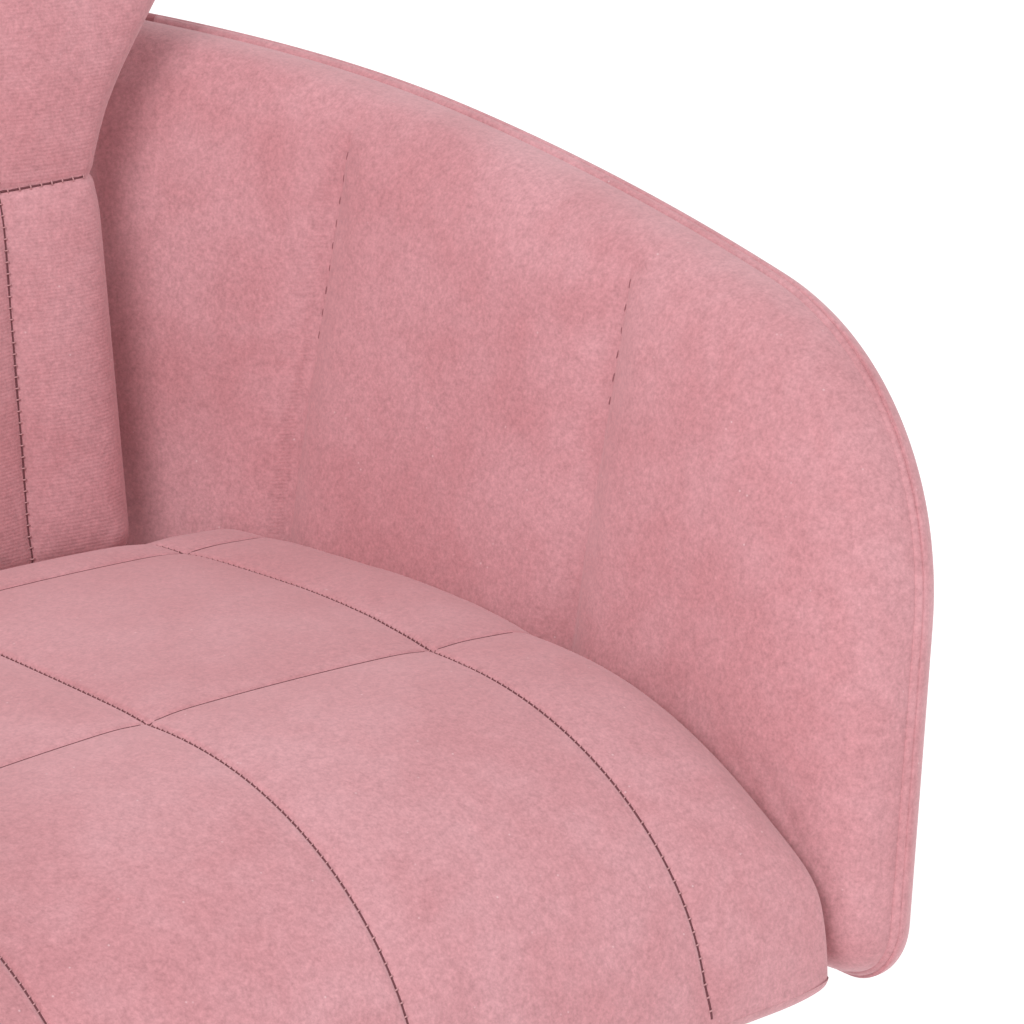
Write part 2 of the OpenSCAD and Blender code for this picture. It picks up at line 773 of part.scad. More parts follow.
module back_rear_pad() {
    color(velvet) back_frame() difference() {
        back_slice(back_pad + back_board_t, back_t, piping_d + 4);
        for (s = [-1, 1]) {
            at_bar(s) translate([0, -3, 0]) bar_leg(ease + 3);
            for (z = [40, 150]) at_bar(s) translate([0, 40, z]) rotate([90, 0, 0])
                cylinder(r = m8_head + 2, h = 40);
        }
    }
}

module back_piping() {
    side = back_side(piping_d / 2 - 0.4);
    loop = concat(side, flip(side));
    mid = back_pad + back_board_t / 2;
    path = [for (p = loop) [p[0], sqrt(pow(back_bend_r + mid, 2) - p[0] * p[0]) - back_bend_r, p[1]]];
    color(velvet) back_frame() closed_tube(path, piping_d / 2, [0, 1, 0]);
}

// World y where the leaning bar's front face reaches the level of the seat board's underside
bar_foot_y = back_y + (back_pad + back_board_t) / cos(back_lean)
    - (seat_height - board_z + bar_t / 2) * tan(back_lean);

module back_bars() {
    color(black) difference() {
        for (s = [-1, 1]) {
            intersection() {
                back_frame() at_bar(s) bar_leg(0);
                translate([-300, 0, board_z - bar_t]) cube([600, 600, 600]);
            }
            translate([s * bar_x - bar_w / 2, board_rear - 90, board_z - bar_t])
                cube([bar_w, bar_foot_y + 2 - board_rear + 90, bar_t]);
        }
        for (s = [-1, 1], i = [0, 1])
            translate([s * bar_x, board_rear - 25 - i * 45, board_z - 20]) cylinder(r = m8 + 0.5, h = 40);
        for (s = [-1, 1], z = [40, 150]) back_frame() at_bar(s) translate([0, 30, z])
            rotate([90, 0, 0]) cylinder(r = m8 - 0.5, h = 60);
    }
}

module back_bolts() {
    color(steel) for (s = [-1, 1]) {
        for (i = [0, 1]) translate([s * bar_x, board_rear - 25 - i * 45, board_z - bar_t - m8_head_t]) {
            cylinder(r = m8_head, h = m8_head_t);
            cylinder(r = m8, h = m8_head_t + bar_t + board_thickness - 5);
        }
        for (z = [40, 150]) back_frame() at_bar(s) translate([0, bar_t, z]) {
            rotate([-90, 0, 0]) cylinder(r = m8_head, h = 2.5);
            rotate([90, 0, 0]) cylinder(r = m8 - 1, h = bar_t + 7);
        }
    }
}

// ================= footrest =================
stem_y = 22 - board_front;
stem_run = footrest_reach + stem_y;
stem_fall = board_z - 10 - footrest_z;
stem_len = sqrt(stem_run * stem_run + stem_fall * stem_fall);
stem_tilt = atan2(stem_run, stem_fall);

module footrest_stem() {
    color(chrome) difference() {
        union() {
            intersection() {
                translate([0, -footrest_reach, footrest_z]) rotate([-stem_tilt, 0, 0])
                    cylinder(r = stem_r, h = stem_len + 40);
                translate([-60, -600, 0]) cube([120, 600, board_z - 3]);
            }
            translate([0, 0, board_z - 5]) slab(-38, 38, 2 - board_front, 54 - board_front, 5, 8);
        }
        translate([-60, -footrest_reach, footrest_z]) rotate([0, 90, 0]) cylinder(r = bar_r, h = 120);
        for (x = [-22, 22], i = [0, 1]) translate([x, 15 - board_front + i * 25, board_z - 20])
            cylinder(r = m8 + 0.5, h = 40);
        for (x = [-22, 22], i = [0, 1]) translate([x, 15 - board_front + i * 25, board_z - 45])
            cylinder(r = m8_head + 1.5, h = 40);
    }
}

module footrest_bar() {
    color(chrome) translate([-footrest_w / 2, -footrest_reach, footrest_z]) rotate([0, 90, 0])
        ring(bar_r, bar_r - 2, footrest_w);
}

module footrest_tread() {
    half = footrest_w / 2 - 30;
    color(black) for (s = [-1, 1]) difference() {
        translate([s < 0 ? -half : stem_r + 14, -footrest_reach, footrest_z]) rotate([0, 90, 0])
            ring(bar_r + tread_t, bar_r, half - stem_r - 14);
        translate([-half - 10, -footrest_reach - 40, footrest_z - 45]) cube([2 * half + 20, 80, 40]);
    }
}

module footrest_end_caps() {
    color(black) for (s = [0, 1]) mirror([s, 0, 0])
        translate([footrest_w / 2, -footrest_reach, footrest_z]) rotate([0, 90, 0]) {
            cylinder(r = bar_r, h = 3);
            translate([0, 0, -12]) cylinder(r = bar_r - 2, h = 13);
        }
}

module footrest_bolts() {
    color(steel) for (x = [-22, 22], i = [0, 1])
        translate([x, 15 - board_front + i * 25, board_z - 5 - m8_head_t]) {
            cylinder(r = m8_head, h = m8_head_t);
            cylinder(r = m8, h = m8_head_t + 5 + board_thickness - 5);
        }
}

base_underlay();
ballast_disc();
base_cover();
pump_casting();
pump_bolts();
pump_cylinder();
reservoir_tube();
gland_nut();
ram_seal();
pump_shroud();
pedal_pin();
pin_clips();
plunger_seal();
pedal_lever();
pedal_pad();
plunger();
plunger_spring();
ram();
ram_piston();
ram_nut();
thrust_washer();
swivel_hub();
hub_bush();
column_shroud();
seat_plate();
seat_plate_bolts();
t_nuts();
seat_board();
seat_cushion();
left_arm_core();
left_arm_inner_pad();
left_arm_outer_pad();
left_arm_piping();
left_arm_bracket();
left_arm_bolts();
right_arm_core();
right_arm_inner_pad();
right_arm_outer_pad();
right_arm_piping();
right_arm_bracket();
right_arm_bolts();
back_board();
back_cushion();
back_rear_pad();
back_piping();
back_bars();
back_bolts();
footrest_stem();
footrest_bar();
footrest_tread();
footrest_end_caps();
footrest_bolts();
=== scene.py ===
# %% [markdown]
# # A velvet styling chair, built round its working frame
#
# The chair is a padded shell on a hydraulic pump. The metal work comes ready made as the frame,
# and this lesson dresses it: it sews and stuffs the velvet pieces, runs the piping, puts in the
# stitches, and gives every metal, rubber and wooden piece a finish of its own.
# The frame is loaded first because every soft piece takes its place from it.

# %% Load the frame
import math

import bmesh
import bpy
import numpy as np
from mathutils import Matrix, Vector
from mathutils.bvhtree import BVHTree


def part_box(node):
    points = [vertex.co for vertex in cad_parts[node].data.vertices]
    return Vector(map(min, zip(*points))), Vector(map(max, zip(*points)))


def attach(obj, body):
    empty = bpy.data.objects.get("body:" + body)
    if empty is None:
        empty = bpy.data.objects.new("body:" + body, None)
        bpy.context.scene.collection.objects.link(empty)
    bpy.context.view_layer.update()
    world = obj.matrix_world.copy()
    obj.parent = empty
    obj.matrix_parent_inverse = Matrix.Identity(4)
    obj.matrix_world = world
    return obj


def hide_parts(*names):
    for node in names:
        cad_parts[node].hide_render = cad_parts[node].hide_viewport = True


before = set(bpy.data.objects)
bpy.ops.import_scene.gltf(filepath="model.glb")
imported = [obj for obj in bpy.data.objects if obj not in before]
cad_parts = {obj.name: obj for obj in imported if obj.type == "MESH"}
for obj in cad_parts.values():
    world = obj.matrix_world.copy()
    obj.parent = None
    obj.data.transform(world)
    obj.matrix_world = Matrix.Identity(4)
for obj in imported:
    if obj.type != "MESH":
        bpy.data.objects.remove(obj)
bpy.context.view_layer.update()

# %% [markdown]
# ## The maker's sizes
#
# An upholsterer works from a few sizes: how wide and deep the seat is, how far the arms lean,
# where the rows of stitching run. They could be typed in as coordinates wherever they are used,
# but then nothing would follow when the frame changes. Here the outer sizes are read from the
# frame's own boxes, and the rest are small distances that a maker would measure with a tape.

# %% Sizes of the seat, the arms and the back
MM = 0.001
seat_low, seat_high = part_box("seat_cushion")
SEAT_TOP = seat_high.z
SEAT_BOTTOM = seat_low.z + 1 * MM
SEAT_HALF = seat_high.x + 8 * MM           # the foam pushes out against the arms
SEAT_FRONT = seat_low.y + 2 * MM
SEAT_REAR = seat_high.y + 4 * MM
ARM_LEAN = math.radians(12)
ARM_INNER = 270 * MM                       # widest place of an arm's inner face, at seat level
ARM_BEND = 3800 * MM                       # gentle curve of the arm seen from above
ARM_WIDEST = -280 * MM
ARM_WRAP = 360 * MM                        # tighter curve that goes round behind the back
ARM_WRAP_START = 165 * MM
ARM_END = 366 * MM
PIPING_R = 4 * MM
BACK_LEAN = math.radians(12)
BACK_BEND = 800 * MM
BACK_FACE = 266 * MM
PIPING_DEPTH = 41 * MM                     # piping's distance outward from the inner face
print("seat", round(2 * SEAT_HALF, 3), "wide, top at", round(SEAT_TOP, 3))

# %% [markdown]
# ## Shaping tools
#
# Sewn panels are sheets, so every soft piece here begins as a grid of points. A grid could be
# pushed about by hand in edit mode, but a formula keeps both arms alike and keeps rows of points
# along the seams. `closed_cover` joins two facing grids into one cover, `patch` fills the
# space between four edges (a Coons patch), and `rounded_edge` is the quarter-round that foam
# takes when cloth is pulled over it.

# %% Helpers for points and curves
def arc(centre, radius, start, end, count):
    """Points along a circular arc in a plane; angles in degrees."""
    a = np.radians(np.linspace(start, end, count))
    return np.stack([centre[0] + radius * np.cos(a), centre[1] + radius * np.sin(a)], 1)


def resample(line, count):
    """The same line with evenly spaced points."""
    line = np.asarray(line, float)
    gaps = np.linalg.norm(np.diff(line, axis=0), axis=1)
    along = np.concatenate([[0], np.cumsum(gaps)])
    want = np.linspace(0, 1, count) * along[-1]
    return np.stack([np.interp(want, along, line[:, k]) for k in range(line.shape[1])], 1)


def patch(low, high, start, end):
    """Coons patch: low and high run one way, start and end join their first and last points."""
    u = np.linspace(0, 1, len(low))[:, None, None]
    v = np.linspace(0, 1, len(start))[None, :, None]
    ruled = (1 - v) * low[:, None] + v * high[:, None] + (1 - u) * start[None] + u * end[None]
    corners = ((1 - u) * (1 - v) * low[0] + u * (1 - v) * low[-1]
               + (1 - u) * v * high[0] + u * v * high[-1])
    return ruled - corners


def edge_distance(points, outline):
    """Distance of each point of a flat grid from a closed outline."""
    flat = points.reshape(-1, 2)
    a = outline
    b = np.roll(outline, -1, axis=0)
    best = np.full(len(flat), np.inf)
    for p, q in zip(a, b):
        d = q - p
        length = d @ d
        if length < 1e-14:
            continue
        t = np.clip(((flat - p) @ d) / length, 0, 1)
        best = np.minimum(best, np.linalg.norm(flat - p - t[:, None] * d, axis=1))
    return best.reshape(points.shape[:2])


def rounded_edge(distance, radius):
    """0 on the outline, 1 from one radius in, with a quarter-round between."""
    t = np.clip(1 - distance / radius, 0, 1)
    return (1 - t ** 2) ** 0.5


def smooth(t):
    t = np.clip(t, 0, 1)
    return t * t * (3 - 2 * t)


def unit(v):
    return v / np.maximum(np.linalg.norm(v, axis=-1, keepdims=True), 1e-12)


print("curve tools ready")


# %% Helpers that make meshes
def make_object(name, points, faces):
    mesh = bpy.data.meshes.new(name)
    mesh.from_pydata(np.asarray(points).tolist(), [], [list(map(int, f)) for f in faces])
    mesh.validate()
    mesh.update()
    piece = bpy.data.objects.new(name, mesh)
    bpy.context.scene.collection.objects.link(piece)
    for polygon in mesh.polygons:
        polygon.use_smooth = True
    return piece


def closed_cover(name, front, back):
    """Two grids of the same size with the same rim become one closed cover."""
    rows, cols = front.shape[:2]
    index = np.arange(rows * cols).reshape(rows, cols)
    inner = np.zeros((rows, cols), bool)
    inner[1:-1, 1:-1] = True
    back_index = index.copy()
    back_index[inner] = rows * cols + np.arange(inner.sum())
    points = np.concatenate([front.reshape(-1, 3), back[inner]])
    faces = []
    for grid, flip in ((index, False), (back_index, True)):
        quad = np.stack([grid[:-1, :-1], grid[1:, :-1], grid[1:, 1:], grid[:-1, 1:]], -1)
        quad = quad.reshape(-1, 4)
        faces.append(quad[:, ::-1] if flip else quad)
    return make_object(name, points, np.concatenate(faces))


def turn_outward(piece):
    """Makes the faces look outward, whichever way the grid was laid."""
    work = bmesh.new()
    work.from_mesh(piece.data)
    bmesh.ops.recalc_face_normals(work, faces=work.faces)
    work.to_mesh(piece.data)
    work.free()


def read_points(piece):
    co = np.zeros(len(piece.data.vertices) * 3, np.float32)
    piece.data.vertices.foreach_get("co", co)
    return co.reshape(-1, 3).astype(float)


def write_points(piece, points):
    piece.data.vertices.foreach_set("co", np.asarray(points, np.float32).ravel())
    piece.data.update()


def read_normals(piece):
    n = np.zeros(len(piece.data.vertices) * 3, np.float32)
    piece.data.vertices.foreach_get("normal", n)
    return n.reshape(-1, 3).astype(float)


def subdivide(piece, levels=1):
    """One round of subdivision, applied to the mesh."""
    modifier = piece.modifiers.new("smooth", "SUBSURF")
    modifier.levels = levels
    graph = bpy.context.evaluated_depsgraph_get()
    mesh = bpy.data.meshes.new_from_object(piece.evaluated_get(graph))
    piece.modifiers.remove(modifier)
    old = piece.data
    piece.data = mesh
    bpy.data.meshes.remove(old)
    for polygon in piece.data.polygons:
        polygon.use_smooth = True


print("tools ready")

# %% [markdown]
# ## Stuffing a cover
#
# Foam pushes on the cloth from inside, and the rows of stitching hold it back. The bulge between
# two seams could be drawn with a formula, but cloth that is really inflated also wrinkles where
# it has length to spare, which is what makes a cushion look sewn. So each cover is run through
# a short cloth simulation with air pressure in it and its seams pinned. How far a point may move
# is limited, so the piece keeps the size of the frame.

# %% Inflate a cover between its seams
STUFFING_FRAMES = 20
CLOTH_STIFFNESS = 12


def inflate(piece, held, pressure, reach):
    """held is 1 where stitching or boards hold the cloth, 0 where it is free to swell."""
    rest = read_points(piece)
    group = piece.vertex_groups.new(name="held")
    for level in np.unique(np.round(held, 2)):
        if level > 0:
            members = np.nonzero(np.round(held, 2) == level)[0].tolist()
            group.add(members, float(level), "REPLACE")
    cloth = piece.modifiers.new("stuffing", "CLOTH")
    cloth.settings.quality = 5
    cloth.settings.mass = 0.35
    cloth.settings.tension_stiffness = CLOTH_STIFFNESS
    cloth.settings.compression_stiffness = CLOTH_STIFFNESS
    cloth.settings.shear_stiffness = CLOTH_STIFFNESS / 2
    cloth.settings.bending_stiffness = 0.6
    cloth.settings.use_pressure = True
    cloth.settings.uniform_pressure_force = pressure
    cloth.settings.effector_weights.gravity = 0
    cloth.settings.vertex_group_mass = "held"
    cloth.settings.pin_stiffness = 2.0
    cloth.collision_settings.use_collision = False
    scene = bpy.context.scene
    for number in range(1, STUFFING_FRAMES + 1):
        scene.frame_set(number)
    graph = bpy.context.evaluated_depsgraph_get()
    after = bpy.data.meshes.new_from_object(piece.evaluated_get(graph))
    moved = np.zeros(len(after.vertices) * 3, np.float32)
    after.vertices.foreach_get("co", moved)
    bpy.data.meshes.remove(after)
    piece.modifiers.remove(cloth)
    piece.vertex_groups.remove(group)
    scene.frame_set(1)
    step = moved.reshape(-1, 3).astype(float) - rest
    size = np.linalg.norm(step, axis=1, keepdims=True)
    step *= reach * np.tanh(size / reach) / np.maximum(size, 1e-9)
    write_points(piece, rest + step)
    print(piece.name, "swelled by up to", round(float(size.max()) / MM, 1), "mm")


# %% [markdown]
# ## Camera, light and floor
#
# A close view with a long lens keeps the arm's curves true. A wide lens close up would swell the
# near corner of the seat. The room is a plain white studio: one soft lamp above the sitter's
# right shoulder, a weaker one from the other side, and white all round.

# %% Camera
AIM = Vector((0.218, -0.008, SEAT_TOP + 0.064))
TURN = math.radians(40)
RISE = math.radians(20)
DISTANCE = 2.6
away = Vector((-math.cos(RISE) * math.sin(TURN), -math.cos(RISE) * math.cos(TURN), math.sin(RISE)))
camera_data = bpy.data.cameras.new("studio_camera")
camera_data.lens = 185.6
camera_data.sensor_width = 36
camera_data.clip_end = 200
camera = bpy.data.objects.new("studio_camera", camera_data)
camera.location = AIM + away * DISTANCE
camera.rotation_euler = (-away).to_track_quat("-Z", "Y").to_euler()
bpy.context.scene.collection.objects.link(camera)
bpy.context.scene.camera = camera
print("camera at", [round(c, 3) for c in camera.location])


# %% Lamps, sky and floor
def lamp(name, place, size, power):
    data = bpy.data.lights.new(name, "AREA")
    data.shape = "DISK"
    data.size = size
    data.energy = power
    item = bpy.data.objects.new(name, data)
    item.location = place
    item.rotation_euler = (AIM - Vector(place)).to_track_quat("-Z", "Y").to_euler()
    bpy.context.scene.collection.objects.link(item)
    return item


lamp("key_lamp", (-2.5, -1.1, 3.0), 1.9, 74)
lamp("fill_lamp", (2.6, -1.4, 2.2), 1.6, 10)

sky = bpy.data.worlds.new("studio")
bpy.context.scene.world = sky
sky.use_nodes = True
nodes = sky.node_tree.nodes
links = sky.node_tree.links
nodes.clear()
out = nodes.new("ShaderNodeOutputWorld")
mix = nodes.new("ShaderNodeMixShader")
seen = nodes.new("ShaderNodeBackground")
light = nodes.new("ShaderNodeBackground")
path = nodes.new("ShaderNodeLightPath")
seen.inputs["Strength"].default_value = 1.0
seen.inputs["Color"].default_value = (1, 1, 1, 1)
light.inputs["Strength"].default_value = 0.76
light.inputs["Color"].default_value = (1, 1, 1, 1)
links.new(path.outputs["Is Camera Ray"], mix.inputs[0])
links.new(light.outputs[0], mix.inputs[1])
links.new(seen.outputs[0], mix.inputs[2])
links.new(mix.outputs[0], out.inputs["Surface"])
bpy.context.scene.view_settings.view_transform = "Standard"

FLOOR_HALF = 25.0
floor = make_object("floor", [(x, y, -0.5 * MM) for x, y in ((-FLOOR_HALF, -FLOOR_HALF),
    (FLOOR_HALF, -FLOOR_HALF), (FLOOR_HALF, FLOOR_HALF), (-FLOOR_HALF, FLOOR_HALF))], [(0, 1, 2, 3)])
floor_finish = bpy.data.materials.new("studio_floor")
floor_finish.use_nodes = True
shader = floor_finish.node_tree.nodes["Principled BSDF"]
shader.inputs["Base Color"].default_value = (0.9, 0.9, 0.9, 1)
shader.inputs["Roughness"].default_value = 0.9
shader.inputs["Specular IOR Level"].default_value = 0.1
shader.inputs["Emission Color"].default_value = (1, 1, 1, 1)
shader.inputs["Emission Strength"].default_value = 0.38
floor.data.materials.append(floor_finish)
print("studio ready")

# %% [markdown]
# ## The seat cushion
#
# The seat is a block of foam under a cover of twelve panels. Its front rolls over in a long
# curve, the top is slightly crowned, and its sides are rounded more tightly. A cube with bevels
# would give one radius everywhere, so the cushion is made as a row of slices: the outline of the
# middle slice is drawn once, and the slices near each side are the same outline drawn smaller.
# Rows of points lie along the seams: three seams from back to front and two across.

# %% Outline of the seat's middle slice
ROLL_START = -30 * MM                      # where the top begins to fall towards the knees
ROLL_DROP = 130 * MM
REAR_R = 34 * MM
TUCK_R = 9 * MM                            # where the cover turns under the seat board
LENGTH_SEAMS = (-172 * MM, 0.0, 172 * MM)
CROSS_SEAMS = (0.0, 200 * MM)
CROWN = 7 * MM
SIDE_R = 38 * MM


def clustered(start, end, step, lines, close=(0.8, 1.7, 3.0)):
    """Evenly spaced values with extra ones close to some lines."""
    values = list(np.linspace(start, end, int(round((end - start) / step)) + 1))
    reach = (close[-1] + 1.2) * MM
    values = [v for v in values if all(abs(v - line) > reach for line in lines) or v in (start, end)]
    for line in lines:
        offsets = [0] + [c * MM for c in close] + [-c * MM for c in close]
        values += [line + o for o in offsets if start <= line + o <= end]
    return np.array(sorted(set(round(v, 6) for v in values)))


def seat_top_height(y):
    """Height below the seat's crown line, along the middle of a panel."""
    front = np.clip((y - ROLL_START) / (SEAT_FRONT - ROLL_START), 0, 1)
    roll = ROLL_DROP * (1 - np.sqrt(np.clip(1 - front ** 2, 0, 1)))
    rear = np.clip(y - ROLL_START, 0, None) ** 2 / 9.5
    return -(roll + rear)


def arm_place(y, z, depth):
    """From the arm's own frame (back, up the arm, outward) to the chair's frame."""
    low = np.clip((40 * MM - z) / (160 * MM), 0, 1) ** 1.5
    depth = depth + 8 * MM * low * np.clip(1 - depth / (30 * MM), 0, 1)
    bend = -ARM_BEND + np.sqrt((ARM_BEND + depth) ** 2 - (y - ARM_WIDEST) ** 2)
    tilt = math.asin((ARM_WRAP_START - ARM_WIDEST) / ARM_BEND)
    start_x = -ARM_BEND + math.sqrt(ARM_BEND ** 2 - (ARM_WRAP_START - ARM_WIDEST) ** 2)
    centre = (start_x - ARM_WRAP * math.cos(tilt), ARM_WRAP_START - ARM_WRAP * math.sin(tilt))
    wrap = centre[0] + np.sqrt(np.maximum((ARM_WRAP + depth) ** 2 - (y - centre[1]) ** 2, 1e-6))
    x = np.where(y < ARM_WRAP_START, bend, wrap)
    c, s = math.cos(ARM_LEAN), math.sin(ARM_LEAN)
    return np.stack([ARM_INNER + x * c + z * s, y, SEAT_TOP - x * s + z * c], -1)


def seat_half_at(y):
    """Half width of the seat at seat level: free in front, against the arms behind."""
    return np.minimum(SEAT_HALF, arm_place(y, 0 * y, 0 * y)[..., 0] + 1 * MM)


def side_radius(y):
    """The side's rounding is tighter where the cushion is squeezed between the arms."""
    return SIDE_R - 16 * MM * smooth((y + 30 * MM) / (150 * MM))


def seat_spread(y):
    """How far the middle of the cushion is stretched sideways at one place along it."""
    return (seat_half_at(y) - side_radius(y)) / (SEAT_HALF - SIDE_R)


def seat_outline():
    """Closed outline in (y, z), from the middle of the rear over the top and back underneath."""
    rear_y = clustered(ROLL_START, SEAT_REAR - REAR_R, 5 * MM, CROSS_SEAMS)[::-1]
    top = np.stack([rear_y, seat_top_height(rear_y)], 1)
    angle = np.radians(np.linspace(90, 180, 62))[1:]
    depth = ROLL_START - SEAT_FRONT
    roll = np.stack([ROLL_START + depth * np.cos(angle), -ROLL_DROP + ROLL_DROP * np.sin(angle)], 1)
    under = SEAT_BOTTOM - SEAT_TOP
    tuck = arc((SEAT_FRONT + TUCK_R, under + TUCK_R), TUCK_R, 180, 270, 7)
    base = np.stack([np.linspace(SEAT_FRONT + TUCK_R, SEAT_REAR - TUCK_R, 40)[1:-1],
                     np.full(38, under)], 1)
    heel = arc((SEAT_REAR - TUCK_R, under + TUCK_R), TUCK_R, -90, 0, 7)
    rear_top = arc((SEAT_REAR - REAR_R, top[0, 1] - REAR_R), REAR_R, 0, 90, 16)[:-1]
    rise = np.stack([np.full(20, SEAT_REAR), np.linspace(under + TUCK_R, rear_top[0, 1], 22)[1:-1]], 1)
    return np.concatenate([top, roll, tuck, base, heel, rise, rear_top])


outline = seat_outline()
tangent = unit(np.roll(outline, -1, axis=0) - np.roll(outline, 1, axis=0))
inward = np.stack([-tangent[:, 1], tangent[:, 0]], 1)
under_share = smooth((inward[:, 1] - 0.2) / 0.7)[:, None]
low_share = smooth((-8 * MM - outline[:, 1]) / (80 * MM))[:, None] * smooth(inward[:, 0])[:, None]
inset_share = np.maximum(1 - 0.82 * under_share - 0.9 * low_share, 0.12)
print("seat outline has", len(outline), "points")

# %% Slices of the seat, from side to side
def seat_stations():
    """Distances from the middle at which slices are cut; seams lie on slices."""
    flat = clustered(0, SEAT_HALF - SIDE_R, 5 * MM, LENGTH_SEAMS[1:])
    turn = SEAT_HALF - SIDE_R + SIDE_R * np.sin(np.radians(np.linspace(0, 90, 17)[1:]))
    half = np.concatenate([flat, turn])
    return np.concatenate([-half[:0:-1], half])


def seat_slice(x):
    """The outline at one distance from the middle."""
    y = outline[:, 0]
    flat = SEAT_HALF - SIDE_R
    past = np.clip(abs(x) - flat, 0, SIDE_R) / SIDE_R
    radius = side_radius(y)
    across = np.minimum(abs(x), flat) * seat_spread(y) + radius * past
    inset = radius * (1 - math.sqrt(max(0, 1 - past ** 2)))
    crown = CROWN * (1 - (x / abs(LENGTH_SEAMS[0])) ** 2)
    ring = outline + inward * inset[:, None] * inset_share
    ring[:, 1] += crown * smooth((ring[:, 1] + ROLL_DROP) / ROLL_DROP)
    low = smooth((-40 * MM - ring[:, 1]) / (90 * MM))
    across -= 7 * MM * low * (across / SEAT_HALF) ** 2
    lift = 3 * MM * smooth((ring[:, 1] + ROLL_DROP) / (60 * MM))
    return np.stack([math.copysign(1, x) * across, ring[:, 0], ring[:, 1] + SEAT_TOP + lift], 1)


CAP_RINGS = 9


def shrunk(ring, middle, share):
    """A slice drawn towards the middle of the cushion's side, to close it."""
    ring = ring.copy()
    ring[:, 1:] = middle + (ring[:, 1:] - middle) * share
    return ring


def seat_cover():
    rings = [seat_slice(x) for x in seat_stations()]
    middle = rings[0][:, 1:].mean(0)
    shares = [(k + 0.02) / CAP_RINGS for k in range(CAP_RINGS)]
    lows = [shrunk(rings[0], middle, share) for share in shares]
    highs = [shrunk(rings[-1], middle, share) for share in shares[::-1]]
    grid = np.stack(lows + rings + highs)
    index = np.arange(len(grid) * len(outline)).reshape(len(grid), -1)
    wrap = np.concatenate([index, index[:, :1]], 1)
    quads = np.stack([wrap[:-1, :-1], wrap[1:, :-1], wrap[1:, 1:], wrap[:-1, 1:]], -1).reshape(-1, 4)
    faces = [list(q) for q in quads] + [list(index[0]), list(index[-1][::-1])]
    return make_object("seat_velvet", grid.reshape(-1, 3), faces)


seat = seat_cover()
turn_outward(seat)
print("seat cover has", len(seat.data.vertices), "points")


# %% [markdown]
# ## Seams
#
# A seam in a padded cover is a soft valley with a thin line at the bottom of it. It could be
# painted in the material, but light has to fall into it, so it is pressed into the mesh: a wide
# shallow dip where the foam is drawn down, and a narrow groove where the two cloths meet.
# `press` moves points inward by both amounts. Before the cushion is stuffed only the rows on
# the seams are held; after it, the grooves are pressed.

# %% Find and press the seat's seams
def press(piece, distance, dip, dip_width, groove, groove_width, where):
    """Moves points inward near a seam; distance is each point's distance from it."""
    depth = dip * np.exp(-(distance / dip_width) ** 2)
    depth = depth + groove * np.exp(-(distance / groove_width) ** 2)
    write_points(piece, read_points(piece) - read_normals(piece) * (depth * where)[:, None])


def seat_seam_distances(points):
    above = smooth((points[:, 2] - SEAT_BOTTOM - 12 * MM) / (20 * MM))
    flat_x = points[:, 0] / seat_spread(points[:, 1])
    length = np.min([abs(flat_x - s) for s in LENGTH_SEAMS], axis=0)
    cross = np.min([abs(points[:, 1] - s) for s in CROSS_SEAMS], axis=0)
    return length, cross, above


points = read_points(seat)
length_seam, cross_seam, above = seat_seam_distances(points)
nearest = np.minimum(length_seam, cross_seam)
held = np.where(nearest < 1.9 * MM, 0.9, 0.0)
held = np.maximum(held, np.where(points[:, 2] < SEAT_BOTTOM + 14 * MM, 1.0, 0.0))
held = np.maximum(held, np.where(abs(points[:, 0]) > SEAT_HALF - 6 * MM, 1.0, 0.0))
inflate(seat, held, pressure=3.0, reach=5 * MM)
subdivide(seat)
points = read_points(seat)
length_seam, cross_seam, above = seat_seam_distances(points)
press(seat, length_seam, 1.5 * MM, 13 * MM, 1.7 * MM, 1.8 * MM, above)
press(seat, cross_seam, 0.9 * MM, 13 * MM, 0.9 * MM, 1.6 * MM, above)
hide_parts("seat_cushion")
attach(seat, "seat")
print("seat seams pressed,", len(seat.data.vertices), "points")

# %% [markdown]
# ## The arms
#
# Each arm is a curved plywood board with a thick pad inside and a thin one outside. The inner
# pad rolls over the front edge to the piping. The arm's side view is one outline of straight
# lines and arcs. It is split at its four corners into the four edges of a patch, the patch is
# filled with points, and each point's depth is set by its distance from the outline, which
# rounds the pad over its edge by the same radius all the way round.

# %% Outline of an arm seen from the side
ARM_CORNER = 171 * MM
ARM_FOOT_R = 28 * MM
ARM_SLOPE = 12                             # degrees, where the top edge meets the front corner
ARM_TOP_R = 2013 * MM
FRONT_LEAN = 8
arm_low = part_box("left_arm_inner_pad")[0]
ARM_TOP_CENTRE = np.array([-24 * MM, 18 * MM])
ARM_FOOT_Z = (arm_low.z - SEAT_TOP + 1 * MM) / math.cos(ARM_LEAN) - 3 * MM


